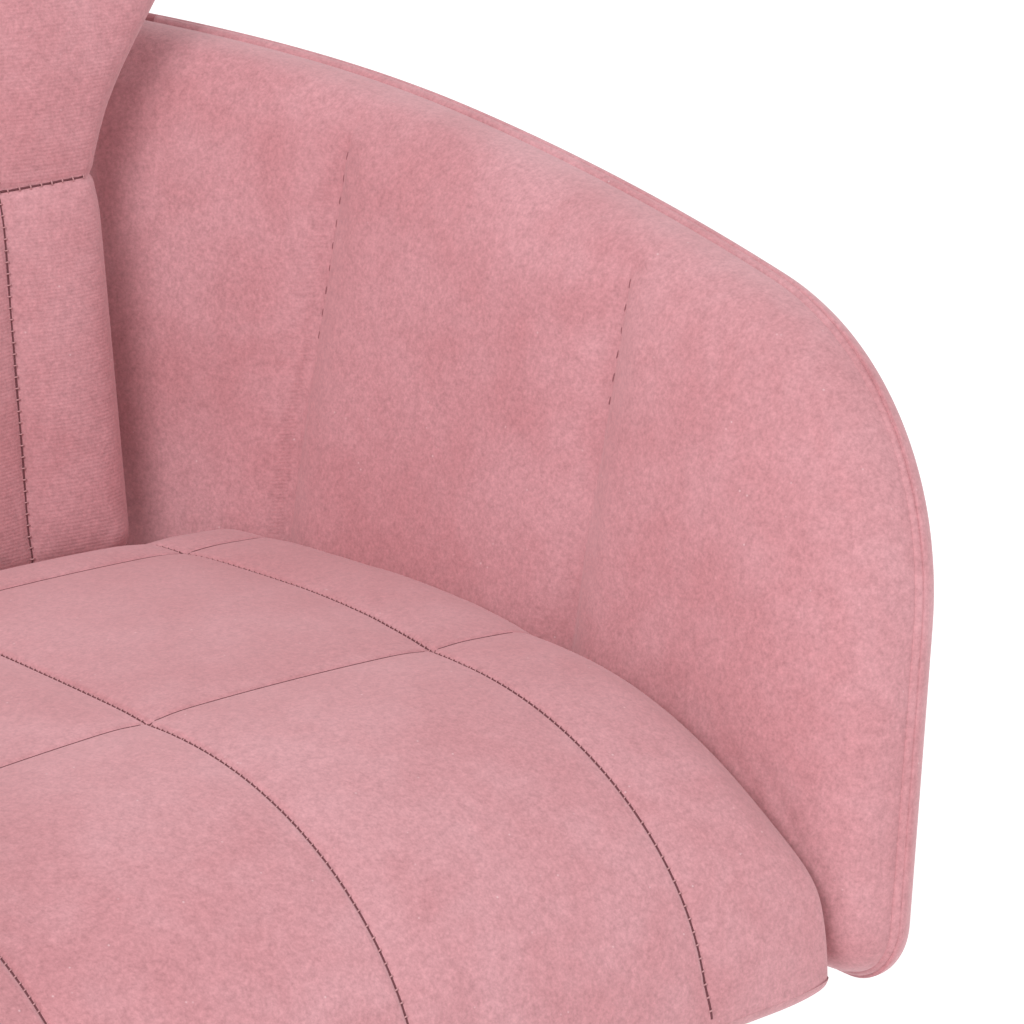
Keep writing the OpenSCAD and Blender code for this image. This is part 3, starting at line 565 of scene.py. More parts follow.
def arm_edges(inset=0.0, count=(150, 92)):
    """Four edges of the arm's side outline: low, high, front and rear, in (y, z)."""
    lean = math.radians(FRONT_LEAN)
    foot_y = (ARM_TOP_CENTRE[0] - ARM_CORNER / math.cos(lean)
              - (ARM_TOP_CENTRE[1] - ARM_FOOT_Z) * math.tan(lean))
    foot = (foot_y + ARM_FOOT_R * (1 / math.cos(lean) + math.tan(lean)), ARM_FOOT_Z + ARM_FOOT_R)
    big = arc(ARM_TOP_CENTRE, ARM_CORNER - inset, 90 + ARM_SLOPE, 180 - FRONT_LEAN, 61)
    small = arc(foot, ARM_FOOT_R - inset, 180 - FRONT_LEAN, 270, 21)
    end_y = ARM_END - inset
    turn = math.radians(90 + ARM_SLOPE)
    long_centre = ARM_TOP_CENTRE + (ARM_CORNER - ARM_TOP_R) * np.array([math.cos(turn), math.sin(turn)])
    last = math.degrees(math.acos((end_y - long_centre[0]) / (ARM_TOP_R - inset)))
    top = arc(long_centre, ARM_TOP_R - inset, 90 + ARM_SLOPE, last, 40)
    end_top = top[-1]
    end_low = [end_y, ARM_FOOT_Z + inset]
    low = resample(np.concatenate([small[10:], [end_low]]), count[0])
    high = resample(np.concatenate([big[30::-1], top[1:]]), count[0])
    front = resample(np.concatenate([small[10::-1], big[:29:-1]]), count[1])
    rear = resample(np.array([end_low, end_top]), count[1])
    return low, high, front, rear


def ring_of(edges):
    """The four edges joined into one closed outline."""
    low, high, front, rear = edges
    return np.concatenate([low, rear[1:], high[::-1][1:], front[::-1][1:-1]])


print("arm outline from", round(float(arm_edges()[0][0, 0]), 3), "to", ARM_END)

# %% [markdown]
# ## Making a pad from an outline
#
# The inner and the outer pad of an arm, and the front and the rear pad of the back, are all made
# the same way: a patch of points, a face that rises from the outline by a quarter-round, and a
# flat side against the board. One function makes them all; a pad differs by its outline, its
# thickness and the function that puts it in place on the chair.

# %% Pads
def pad(name, edges, place, rim_depth, face_depth, roll):
    """A closed pad whose rim lies at rim_depth and whose face lies at face_depth."""
    grid = patch(*edges)
    distance = edge_distance(grid, ring_of(edges))
    rise = rounded_edge(distance, roll)
    depth = rim_depth + (face_depth - rim_depth) * rise
    away = 0.5 * MM * np.sign(face_depth - rim_depth)
    front = place(grid[..., 0], grid[..., 1], depth)
    back = place(grid[..., 0], grid[..., 1], np.full_like(depth, rim_depth + away))
    piece = closed_cover(name, front, back)
    turn_outward(piece)
    return piece, grid, distance


def mirror_copy(piece, name):
    """The same piece for the other side of the chair."""
    mesh = piece.data.copy()
    twin = bpy.data.objects.new(name, mesh)
    bpy.context.scene.collection.objects.link(twin)
    points = read_points(twin)
    points[:, 0] *= -1
    write_points(twin, points)
    mesh.flip_normals()
    return twin


ARM_SEAMS = (0.0, 203 * MM)


def arm_seam_distance(points):
    return np.min([abs(points[:, 1] - s) for s in ARM_SEAMS], axis=0)


def arm_rim_distance(points):
    """Distance from the arm's outline for points of the left arm, seen square on."""
    out, up = points[:, 0] - ARM_INNER, points[:, 2] - SEAT_TOP
    flat = np.stack([points[:, 1], out * math.sin(ARM_LEAN) + up * math.cos(ARM_LEAN)], 1)
    near = arm_seam_distance(points) < 45 * MM
    distance = np.full(len(points), 1.0)
    distance[near] = edge_distance(flat[near][:, None], ring_of(arm_edges(count=(60, 40))))[:, 0]
    return distance


arm_inner, arm_grid, arm_rim = pad("left_arm_inner_velvet", arm_edges(0.5 * MM), arm_place,
                                   PIPING_DEPTH, 0.0, 40 * MM)
points = read_points(arm_inner)
face_count = arm_grid.shape[0] * arm_grid.shape[1]
rim = np.full(len(points), 0.0)
rim[:face_count] = arm_rim.ravel()
seam = arm_seam_distance(points)
held = np.where(rim < 10 * MM, 1.0, 0.0)
held = np.maximum(held, np.where((seam < 2.6 * MM) & (rim > 26 * MM), 0.9, 0.0))
inflate(arm_inner, held, pressure=3.0, reach=6 * MM)
subdivide(arm_inner)
points = read_points(arm_inner)
seam = arm_seam_distance(points)
inside = smooth((points[:, 2] - SEAT_TOP + 120 * MM) / (40 * MM))
inside = inside * smooth((arm_rim_distance(points) - 9 * MM) / (28 * MM))
press(arm_inner, seam, 4.4 * MM, 14 * MM, 2.6 * MM, 2.8 * MM, inside)

arm_outer = pad("left_arm_outer_velvet", arm_edges(-3 * MM), arm_place,
                PIPING_DEPTH + 1 * MM, 54 * MM, 9 * MM)[0]
subdivide(arm_outer)
arm_pieces = {"left": [arm_inner, arm_outer],
              "right": [mirror_copy(arm_inner, "right_arm_inner_velvet"),
                        mirror_copy(arm_outer, "right_arm_outer_velvet")]}
for side, (inner_pad, outer_pad) in arm_pieces.items():
    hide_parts(f"{side}_arm_inner_pad")
    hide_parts(f"{side}_arm_outer_pad")
    for piece in (inner_pad, outer_pad):
        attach(piece, "seat")
print("arm pads made,", len(arm_inner.data.vertices), "points each")

# %% [markdown]
# ## The back
#
# The back is a separate padded shell that stands between the rear ends of the arms. It is hollow
# to the sitter, narrow where it meets the seat, and swells out above the arms into two wings.
# Its outline is made as the arms' is, with a smooth step for the shoulder, and the same pad
# function fills it.

# %% Outline of the back seen from the front
BACK_LOW = 184 * MM
BACK_WAIST = 195 * MM
BACK_WIDE = 268 * MM
BACK_FOOT = -34 * MM
WAIST_Z = 172 * MM
WIDE_Z = 322 * MM
BACK_TOP = 468 * MM
BACK_TOP_R = 105 * MM
BACK_FOOT_R = 24 * MM


def back_edges(inset=0.0, count=(112, 130)):
    """Four edges of the back's outline in (x, z): low, high, left and right."""
    foot = arc((BACK_LOW - BACK_FOOT_R, BACK_FOOT + BACK_FOOT_R), BACK_FOOT_R - inset, -90, 0, 13)
    t = np.linspace(0, 1, 26)[1:]
    straight = np.array([[BACK_LOW - inset, BACK_FOOT + BACK_FOOT_R], [BACK_WAIST - inset, WAIST_Z]])
    flare = np.stack([BACK_WAIST - inset + (BACK_WIDE - BACK_WAIST) * smooth(t),
                      WAIST_Z + (WIDE_Z - WAIST_Z) * t], 1)
    top = arc((BACK_WIDE - BACK_TOP_R, BACK_TOP - BACK_TOP_R), BACK_TOP_R - inset, 0, 82, 31)
    side = np.concatenate([foot[6:], straight[1:], flare, top[:16]])
    right = resample(side, count[1])
    left = right * [-1, 1]
    half = resample(np.concatenate([top[15:], [[0, BACK_TOP - inset + 9 * MM]]]), count[0] // 2 + 1)
    high = np.concatenate([half * [-1, 1], half[::-1][1:]])
    half_low = resample(np.concatenate([foot[6::-1], [[0, BACK_FOOT + inset]]]), count[0] // 2 + 1)
    low = np.concatenate([half_low * [-1, 1], half_low[::-1][1:]])
    return low, high, left, right


def back_place(x, z, depth):
    bend = -BACK_BEND + np.sqrt((BACK_BEND + depth) ** 2 - x ** 2)
    c, s = math.cos(BACK_LEAN), math.sin(BACK_LEAN)
    return np.stack([x, BACK_FACE + bend * c + z * s, SEAT_TOP - bend * s + z * c], -1)


BACK_RIM = 44 * MM
UPPER_SEAM = 178 * MM
TOP_SEAM = 330 * MM


def back_local(points):
    """From the chair's frame back to the back's own (x, z)."""
    c, s = math.cos(BACK_LEAN), math.sin(BACK_LEAN)
    return points[:, 0], (points[:, 1] - BACK_FACE) * s + (points[:, 2] - SEAT_TOP) * c


def spread_at(z):
    """Distance of the outer upright seams from the middle, wider towards the top."""
    return 115 * MM + 14 * MM * np.clip(z / UPPER_SEAM, 0, 1) + 32 * MM * smooth(
        (z - UPPER_SEAM) / (BACK_TOP - UPPER_SEAM))


def back_rows(x, z):
    """Distances from the upright and from the level seams of the back."""
    upright = np.minimum(abs(abs(x) - spread_at(z)), abs(x))
    level = np.minimum(abs(z - UPPER_SEAM), abs(z - TOP_SEAM))
    return upright, level


back_pad, back_grid, back_rim = pad("back_velvet", back_edges(0.5 * MM), back_place,
                                    BACK_RIM, 0.0, 24 * MM)
points = read_points(back_pad)
rim = np.zeros(len(points))
rim[:back_grid.shape[0] * back_grid.shape[1]] = back_rim.ravel()
x, z = back_local(points)
upright, level = back_rows(x, z)
held = np.where(rim < 8 * MM, 1.0, 0.0)
held = np.maximum(held, np.where(np.minimum(upright, level) < 2.6 * MM, 0.9, 0.0))
inflate(back_pad, held, pressure=3.2, reach=7 * MM)
subdivide(back_pad)
points = read_points(back_pad)
x, z = back_local(points)
upright, level = back_rows(x, z)
inside = smooth((z - BACK_FOOT) / (30 * MM))
press(back_pad, upright, 2.2 * MM, 13 * MM, 2.0 * MM, 2.2 * MM, inside)
press(back_pad, level, 2.0 * MM, 12 * MM, 1.8 * MM, 2.0 * MM, inside)
rear_pad = pad("back_rear_velvet", back_edges(0.5 * MM), back_place,
               BACK_RIM + 4 * MM, 62 * MM, 22 * MM)[0]
subdivide(rear_pad)
for piece, node in ((back_pad, "back_cushion"), (rear_pad, "back_rear_pad")):
    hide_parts(node)
    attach(piece, "seat")
print("back pads made,", len(back_pad.data.vertices), "points")

# %% [markdown]
# ## Piping
#
# Piping is a cord sewn into a folded strip of the same cloth. It covers the joint between two
# panels and stiffens the edge. A curve with a round bevel would do, but the cover is never
# quite round: it is a little flattened against the panel and puckers at its stitches, so it is
# swept as a tube whose radius varies slightly along its length.

# %% Sweep a tube of cloth along a line
def tube(name, line, radius, sides=12, closed=False, pucker=0.0, pitch=9 * MM):
    line = np.asarray(line, float)
    count = len(line)
    if closed:
        direction = unit(np.roll(line, -1, 0) - np.roll(line, 1, 0))
    else:
        direction = unit(np.gradient(line, axis=0))
    side = np.zeros_like(line)
    side[0] = unit(np.cross(direction[0], [0.13, 0.21, 0.97]))
    for k in range(1, count):
        step = side[k - 1] - direction[k] * (side[k - 1] @ direction[k])
        side[k] = step / np.linalg.norm(step)
    other = np.cross(direction, side)
    along = np.concatenate([[0], np.cumsum(np.linalg.norm(np.diff(line, axis=0), axis=1))])
    swell = 1 + pucker * (np.sin(2 * math.pi * along / pitch) + 0.6 * np.sin(along / pitch * 1.7))
    angle = np.linspace(0, 2 * math.pi, sides, endpoint=False)
    ring = (np.cos(angle)[None, :, None] * side[:, None] + np.sin(angle)[None, :, None] * other[:, None])
    points = line[:, None] + ring * (radius * swell)[:, None, None]
    index = np.arange(count * sides).reshape(count, sides)
    wrap = np.concatenate([index, index[:, :1]], 1)
    if closed:
        wrap = np.concatenate([wrap, wrap[:1]], 0)
    quads = np.stack([wrap[:-1, :-1], wrap[:-1, 1:], wrap[1:, 1:], wrap[1:, :-1]], -1).reshape(-1, 4)
    faces = [list(q) for q in quads]
    if not closed:
        faces += [list(index[0]), list(index[-1][::-1])]
    piece = make_object(name, points.reshape(-1, 3), faces)
    turn_outward(piece)
    return piece


def arm_piping_line():
    low, high, front, rear = arm_edges(PIPING_R - 1 * MM, (260, 200))
    line = np.concatenate([high[::-1], front[::-1][1:], low[1:]])
    keep = line[line[:, 0] < ARM_END - 16 * MM]
    return arm_place(keep[:, 0], keep[:, 1], np.full(len(keep), PIPING_DEPTH + 1.5 * MM))


arm_piping = tube("left_arm_piping_cord", resample(arm_piping_line(), 620), PIPING_R, pucker=0.012)
piping = {"left_arm_piping": arm_piping,
          "right_arm_piping": mirror_copy(arm_piping, "right_arm_piping_cord")}
back_line = ring_of(back_edges(PIPING_R - 1 * MM, (240, 260)))
back_line = back_place(back_line[:, 0], back_line[:, 1], np.full(len(back_line), BACK_RIM + 2 * MM))
piping["back_piping"] = tube("back_piping_cord", back_line, PIPING_R, closed=True, pucker=0.012)
for node, piece in piping.items():
    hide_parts(node)
    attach(piece, "seat")
print("piping run")

# %% [markdown]
# ## Stitches
#
# The long seams of the seat and the seams of the back are laced: short threads cross a dark
# crease from one panel to the other. They could be painted on, but their tiny shadows are what
# the eye picks up, so each one is a small bent tube laid on the cloth. `lay_line` drops a path
# onto a piece with ray casts, and `lace` puts threads across it. The crease itself gets a thin
# dark cord. This cord is painted shade, standing in for the shadow deep between the two panels.

# %% Thread helpers
def surface_of(piece):
    return BVHTree.FromObject(piece, bpy.context.evaluated_depsgraph_get())


def lay_line(tree, starts, direction, reach=0.4):
    """Drops points onto a surface; returns the points and the surface normals there."""
    spots, normals = [], []
    for start in starts:
        spot, normal, _, _ = tree.ray_cast(Vector(start), Vector(direction), reach)
        if spot is not None:
            spots.append(spot)
            normals.append(normal if normal.dot(Vector(direction)) < 0 else -normal)
    return np.array(spots), np.array(normals)


def even_steps(line, normals, pitch):
    """Points at an even pitch along a line, with normal and direction at each."""
    gaps = np.linalg.norm(np.diff(line, axis=0), axis=1)
    along = np.concatenate([[0], np.cumsum(gaps)])
    want = np.arange(pitch / 2, along[-1], pitch)
    at = np.stack([np.interp(want, along, line[:, k]) for k in range(3)], 1)
    up = unit(np.stack([np.interp(want, along, normals[:, k]) for k in range(3)], 1))
    ahead = np.stack([np.interp(want + 1 * MM, along, line[:, k]) for k in range(3)], 1)
    return at, up, unit(ahead - at + 1e-9)


def lace(name, line, normals, pitch, length, radius, slant=0.25, lift=0.35 * MM, along=False):
    """Short threads across a seam, or along it."""
    at, up, ahead = even_steps(line, normals, pitch)
    across = unit(np.cross(ahead, up))
    direction = unit(ahead if along else across + slant * ahead)
    points, faces = [], []
    sides, rings = 6, 7
    angle = np.linspace(0, 2 * math.pi, sides, endpoint=False)
    chance = np.random.default_rng(7)
    for spot, n, d in zip(at, up, direction):
        b = np.cross(n, d)
        size = length * chance.uniform(0.88, 1.1)
        t = np.linspace(-1, 1, rings)
        arch = lift * (1 - t ** 2) - 0.25 * MM
        middle = spot + t[:, None] * d * size / 2 + arch[:, None] * n
        width = radius * np.sqrt(np.clip(1.04 - t ** 4, 0, 1))
        ring = np.cos(angle)[None, :, None] * n + np.sin(angle)[None, :, None] * b
        start = len(points) * sides * rings
        points.append((middle[:, None] + ring * width[:, None, None]).reshape(-1, 3))
        index = start + np.arange(sides * rings).reshape(rings, sides)
        wrap = np.concatenate([index, index[:, :1]], 1)
        quads = np.stack([wrap[:-1, :-1], wrap[:-1, 1:], wrap[1:, 1:], wrap[1:, :-1]], -1)
        faces += quads.reshape(-1, 4).tolist() + [index[0].tolist(), index[-1][::-1].tolist()]
    piece = make_object(name, np.concatenate(points), faces)
    turn_outward(piece)
    return piece


threads = []
painted_shade_cords = []


# Painted shade: a thin near-black cord laid along the bottom of a seam stands in for the shadow in the
# groove.
def crease(name, line, normals, radius=0.7 * MM, sink=0.2 * MM):
    line = line - normals * sink
    count = max(12, int(np.linalg.norm(np.diff(line, axis=0), axis=1).sum() / (2.5 * MM)))
    painted_shade_cords.append(tube(name, resample(line, count), radius, sides=8))


print("thread tools ready")

# %% Lace the seat
seat_skin = surface_of(seat)
STITCH = 4 * MM


def seat_seam_line(x):
    """Path over the top and down the front along a lengthwise seam."""
    rear_y = np.linspace(SEAT_REAR - 20 * MM, ROLL_START, 110)
    top = [(x * t, y, SEAT_TOP + 60 * MM) for t, y in zip(seat_spread(rear_y), rear_y)]
    spots, normals = lay_line(seat_skin, top, (0, 0, -1))
    hub = (ROLL_START, SEAT_TOP - ROLL_DROP)
    for turn in np.radians(np.linspace(89.5, 178, 110)):
        direction = Vector((0, -math.cos(turn), -math.sin(turn)))
        start = Vector((x, hub[0], hub[1])) - direction * 0.25
        spot, normal = lay_line(seat_skin, [start], direction)
        if len(spot):
            spots = np.concatenate([spots, spot])
            normals = np.concatenate([normals, normal])
    return spots, normals


for k, x in enumerate(LENGTH_SEAMS):
    line, normals = seat_seam_line(x)
    crease(f"seat_painted_shade_cord_{k}", line, normals)
    top = line[:, 2] > SEAT_TOP - 38 * MM
    threads.append(lace(f"seat_lacing_top_{k}", line[top], normals[top], STITCH, 2.8 * MM, 0.36 * MM,
                        lift=1.0 * MM))
    threads.append(lace(f"seat_lacing_front_{k}", line[~top], normals[~top], 1.6 * STITCH,
                        3.2 * MM, 0.42 * MM, lift=1.15 * MM))
for k, y in enumerate(CROSS_SEAMS):
    half = 225 * MM
    starts = [(x, y, SEAT_TOP + 60 * MM) for x in np.linspace(-half, half, 200)]
    line, normals = lay_line(seat_skin, starts, (0, 0, -1))
    crease(f"seat_cross_painted_shade_cord_{k}", line, normals, 0.42 * MM, 0.16 * MM)
print("seat laced with", len(threads), "rows")

# %% Lace the back and stitch the arms' channels
back_skin = surface_of(back_pad)
BACK_STITCH = 6 * MM


def back_line(x, z):
    """Points on the face of the back above places (x, z) of its own plane."""
    starts = back_place(np.asarray(x), np.asarray(z), np.full(len(x), -0.12))
    c, s = math.cos(BACK_LEAN), math.sin(BACK_LEAN)
    return lay_line(back_skin, starts, (0, c, -s))


z = np.linspace(BACK_FOOT + 6 * MM, BACK_TOP - 12 * MM, 240)
for k, side in enumerate((-1, 0, 1)):
    line, normals = back_line(side * spread_at(z), z)
    crease(f"back_painted_shade_cord_{k}", line, normals, 0.7 * MM)
    threads.append(lace(f"back_lacing_{k}", line, normals, BACK_STITCH, 3.6 * MM, 0.42 * MM, 0.1,
                        1.25 * MM))
for k, (level, half) in enumerate(((UPPER_SEAM, 176 * MM), (TOP_SEAM, 258 * MM))):
    x = np.linspace(-half, half, 200)
    line, normals = back_line(x, np.full(200, level))
    crease(f"back_level_painted_shade_cord_{k}", line, normals, 0.7 * MM)
    threads.append(lace(f"back_level_lacing_{k}", line, normals, BACK_STITCH, 3.8 * MM, 0.42 * MM,
                        0.1, 1.25 * MM))

dashes = []
for side in ("left", "right"):
    skin = surface_of(arm_pieces[side][0])
    sign = 1 if side == "left" else -1
    c, s = math.cos(ARM_LEAN), math.sin(ARM_LEAN)
    for k, y in enumerate(ARM_SEAMS):
        high = (100 * MM, 168 * MM) if k == 0 else (84 * MM, 190 * MM)
        z = np.linspace(high[0], high[1], 60)
        starts = arm_place(np.full(60, y), z, np.full(60, -0.06)) * [sign, 1, 1]
        line, normals = lay_line(skin, starts, (sign * c, 0, -s))
        dashes.append(lace(f"{side}_arm_stitches_{k}", line, normals, 12 * MM, 5 * MM, 0.42 * MM,
                           0, 0.2 * MM, along=True))

for piece in threads + painted_shade_cords + dashes:
    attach(piece, "seat")
print(len(threads), "laced rows,", len(painted_shade_cords), "painted_shade_cords")

# %% [markdown]
# ## Velvet
#
# Velvet is a short pile on a knitted ground. Where the pile lies over it looks lighter or deeper
# in soft patches, at a slant it glows, and up close there is a fine grain and a faint rib.
# A plain pink with some sheen gives felt. The patches, grain, ribs and rare bright fibre ends
# are made in one shared group, `pile`, that only sends out masks. The colours, the sheen and
# the roughness are set on the shader itself. The glow at a slant is partly the shader's sheen
# and partly painted sheen: the base colour is blended towards a paler pink where the surface
# turns away from the camera.

# %% Node helpers
def group(name, outputs):
    tree = bpy.data.node_groups.new(name, "ShaderNodeTree")
    for label, kind in outputs:
        tree.interface.new_socket(label, in_out="OUTPUT", socket_type=kind)
    return tree, tree.nodes.new("NodeGroupOutput")


def noise(tree, vector, scale, detail=2.0, roughness=0.5, distortion=0.0):
    node = tree.nodes.new("ShaderNodeTexNoise")
    node.inputs["Scale"].default_value = scale
    node.inputs["Detail"].default_value = detail
    node.inputs["Roughness"].default_value = roughness
    node.inputs["Distortion"].default_value = distortion
    tree.links.new(vector, node.inputs["Vector"])
    return node.outputs["Fac"]


def remap(tree, value, low, high, to_low=0.0, to_high=1.0, soft=True):
    node = tree.nodes.new("ShaderNodeMapRange")
    node.interpolation_type = "SMOOTHSTEP" if soft else "LINEAR"
    for label, number in zip(("From Min", "From Max", "To Min", "To Max"), (low, high, to_low, to_high)):
        node.inputs[label].default_value = number
    tree.links.new(value, node.inputs["Value"])
    return node.outputs["Result"]


def maths(tree, operation, a, b=None):
    node = tree.nodes.new("ShaderNodeMath")
    node.operation = operation
    for socket, value in zip(node.inputs, (a, b)):
        if value is None:
            continue
        if isinstance(value, (int, float)):
            socket.default_value = value
        else:
            tree.links.new(value, socket)
    return node.outputs[0]


def blend_colour(tree, factor, a, b):
    node = tree.nodes.new("ShaderNodeMix")
    node.data_type = "RGBA"
    sockets = [s for s in node.inputs if s.type == "RGBA"]
    for socket, value in zip(sockets, (a, b)):
        if isinstance(value, tuple):
            socket.default_value = value
        else:
            tree.links.new(value, socket)
    tree.links.new(factor, node.inputs["Factor"])
    return next(s for s in node.outputs if s.type == "RGBA")


def use_group(material, tree):
    node = material.node_tree.nodes.new("ShaderNodeGroup")
    node.node_tree = tree
    return node


def bump(tree, height, strength, distance):
    node = tree.nodes.new("ShaderNodeBump")
    node.inputs["Strength"].default_value = strength
    node.inputs["Distance"].default_value = distance
    tree.links.new(height, node.inputs["Height"])
    return node.outputs["Normal"]


print("node tools ready")

# %% Group with the pile's patches, grain, ribs and bright fibres
pile, pile_out = group("pile", (("Nap", "NodeSocketFloat"), ("Grain", "NodeSocketFloat"),
                                ("Fibres", "NodeSocketFloat"), ("Normal", "NodeSocketVector")))
place = pile.nodes.new("ShaderNodeTexCoord").outputs["Object"]
geometry = pile.nodes.new("ShaderNodeNewGeometry")
wide = noise(pile, place, 10, 2, 0.5, 0.2)
close = noise(pile, place, 30, 3, 0.6, 0.3)
nap = maths(pile, "ADD", maths(pile, "MULTIPLY", wide, 0.62), maths(pile, "MULTIPLY", close, 0.38))
pile.links.new(remap(pile, nap, 0.33, 0.67), pile_out.inputs["Nap"])
fine = noise(pile, place, 560, 2, 0.7)
medium = noise(pile, place, 230, 2, 0.6)
grain = maths(pile, "ADD", maths(pile, "MULTIPLY", fine, 0.6), maths(pile, "MULTIPLY", medium, 0.4))
pile.links.new(remap(pile, grain, 0.3, 0.7, soft=False), pile_out.inputs["Grain"])
cells = pile.nodes.new("ShaderNodeTexVoronoi")
cells.inputs["Scale"].default_value = 210
pile.links.new(place, cells.inputs["Vector"])
lone = remap(pile, noise(pile, place, 95, 1), 0.62, 0.7)
dot = remap(pile, cells.outputs["Distance"], 0.05, 0.16, 1, 0)
pile.links.new(maths(pile, "MULTIPLY", dot, lone), pile_out.inputs["Fibres"])
split = pile.nodes.new("ShaderNodeSeparateXYZ")
pile.links.new(geometry.outputs["Normal"], split.inputs[0])
upright = remap(pile, maths(pile, "MULTIPLY", split.outputs["Y"], -1), 0.45, 0.95)
ribs = pile.nodes.new("ShaderNodeTexWave")
ribs.wave_type = "BANDS"
ribs.bands_direction = "Z"
ribs.inputs["Scale"].default_value = 165
ribs.inputs["Distortion"].default_value = 0.5
ribs.inputs["Detail"].default_value = 1
ribs.inputs["Detail Scale"].default_value = 2
pile.links.new(place, ribs.inputs["Vector"])
rib_height = maths(pile, "MULTIPLY", maths(pile, "MULTIPLY", ribs.outputs["Fac"], upright), 0.24)
height = maths(pile, "ADD", rib_height, maths(pile, "MULTIPLY", grain, 0.9))
pile.links.new(bump(pile, height, 0.55, 0.5 * MM), pile_out.inputs["Normal"])
print("pile group ready")


# %% Velvet, lacing thread and painted crease shade
def new_finish(name, colour, roughness, metallic=0.0, specular=0.5):
    material = bpy.data.materials.new(name)
    material.use_nodes = True
    shader = material.node_tree.nodes["Principled BSDF"]
    shader.inputs["Base Color"].default_value = (*colour, 1)
    shader.inputs["Roughness"].default_value = roughness
    shader.inputs["Metallic"].default_value = metallic
    shader.inputs["Specular IOR Level"].default_value = specular
    return material, shader


def velvet_finish(name, deep, light, slant, sheen):
    material, shader = new_finish(name, light, 0.86, specular=0.12)
    tree = material.node_tree
    masks = use_group(material, pile)
    nap = blend_colour(tree, masks.outputs["Nap"], (*deep, 1), (*light, 1))
    grain = remap(tree, masks.outputs["Grain"], 0, 1, 0.8, 1.2, soft=False)
    value = tree.nodes.new("ShaderNodeHueSaturation")
    tree.links.new(nap, value.inputs["Color"])
    tree.links.new(grain, value.inputs["Value"])
    # Painted sheen: where the surface turns away from the camera, the base colour is blended towards the
    # paler slant pink, on top of the shader's own sheen.
    facing = tree.nodes.new("ShaderNodeLayerWeight")
    facing.inputs["Blend"].default_value = 0.35
    rim = remap(tree, facing.outputs["Facing"], 0.1, 0.95, 0, 0.55)
    painted_sheen = blend_colour(tree, rim, value.outputs["Color"], (*slant, 1))
    specks = maths(tree, "MULTIPLY", masks.outputs["Fibres"], 0.35)
    tree.links.new(blend_colour(tree, specks, painted_sheen, (0.95, 0.78, 0.8, 1)), shader.inputs["Base Color"])
    shader.inputs["Sheen Weight"].default_value = sheen
    shader.inputs["Sheen Roughness"].default_value = 0.38
    shader.inputs["Sheen Tint"].default_value = (1.0, 0.8, 0.83, 1)
    tree.links.new(masks.outputs["Normal"], shader.inputs["Normal"])
    return material


# The third colour is the painted sheen, a paler pink blended into the base colour at grazing angles.
velvet = velvet_finish("velvet_rose", (0.53, 0.24, 0.262), (0.59, 0.3, 0.327),
                       (0.7, 0.46, 0.485), 0.16)
thread, _ = new_finish("lacing_thread", (0.52, 0.27, 0.285), 0.7, specular=0.25)
# Painted shade: near-black rose for the cords in the bottom of the seams, standing in for their shadow.
painted_crease_shade, _ = new_finish("painted_seam_shade", (0.16, 0.062, 0.072), 0.95, specular=0.05)
stitch, _ = new_finish("dark_stitch", (0.27, 0.115, 0.13), 0.8, specular=0.1)


def dress(piece, material):
    piece.data.materials.clear()
    piece.data.materials.append(material)


for piece in ([seat, back_pad, rear_pad] + list(piping.values()) + arm_pieces["left"]
              + arm_pieces["right"]):
    dress(piece, velvet)
for piece in threads:
    dress(piece, thread)
for piece in painted_shade_cords:
    dress(piece, painted_crease_shade)
for piece in dashes:
    dress(piece, stitch)
print("velvet on", 3 + len(piping) + 4, "pieces")

# %% [markdown]
# ## Metal, rubber, plastic and wood
#
# Nothing on a used chair is one flat colour. Chrome smears where hands touch it, turned steel
# shows tool rings, castings are grainy, and dust lies on what faces up. One group, `wear`,
# makes those masks, and each finish uses the ones that suit it.

# %% Group with smears, grain, dust and worn edges
wear, wear_out = group("wear", (("Smear", "NodeSocketFloat"), ("Grain", "NodeSocketFloat"),
                                   ("Dust", "NodeSocketFloat"), ("Edge", "NodeSocketFloat"),
                                   ("Rings", "NodeSocketFloat")))
place = wear.nodes.new("ShaderNodeTexCoord").outputs["Object"]
geometry = wear.nodes.new("ShaderNodeNewGeometry")
wear.links.new(remap(wear, noise(wear, place, 14, 4, 0.6, 0.8), 0.4, 0.68), wear_out.inputs["Smear"])
wear.links.new(noise(wear, place, 420, 3, 0.65), wear_out.inputs["Grain"])
split = wear.nodes.new("ShaderNodeSeparateXYZ")
wear.links.new(geometry.outputs["Normal"], split.inputs[0])
facing_up = remap(wear, split.outputs["Z"], 0.5, 1.0)
patchy = remap(wear, noise(wear, place, 22, 4, 0.6), 0.38, 0.7)
wear.links.new(maths(wear, "MULTIPLY", facing_up, patchy), wear_out.inputs["Dust"])
corner = remap(wear, geometry.outputs["Pointiness"], 0.52, 0.6)
broken = remap(wear, noise(wear, place, 90, 3, 0.6), 0.35, 0.65)
wear.links.new(maths(wear, "MULTIPLY", corner, broken), wear_out.inputs["Edge"])
stretch = wear.nodes.new("ShaderNodeMapping")
stretch.inputs["Scale"].default_value = (12, 12, 2600)
wear.links.new(place, stretch.inputs["Vector"])
wear.links.new(noise(wear, stretch.outputs["Vector"], 1, 2, 0.6), wear_out.inputs["Rings"])


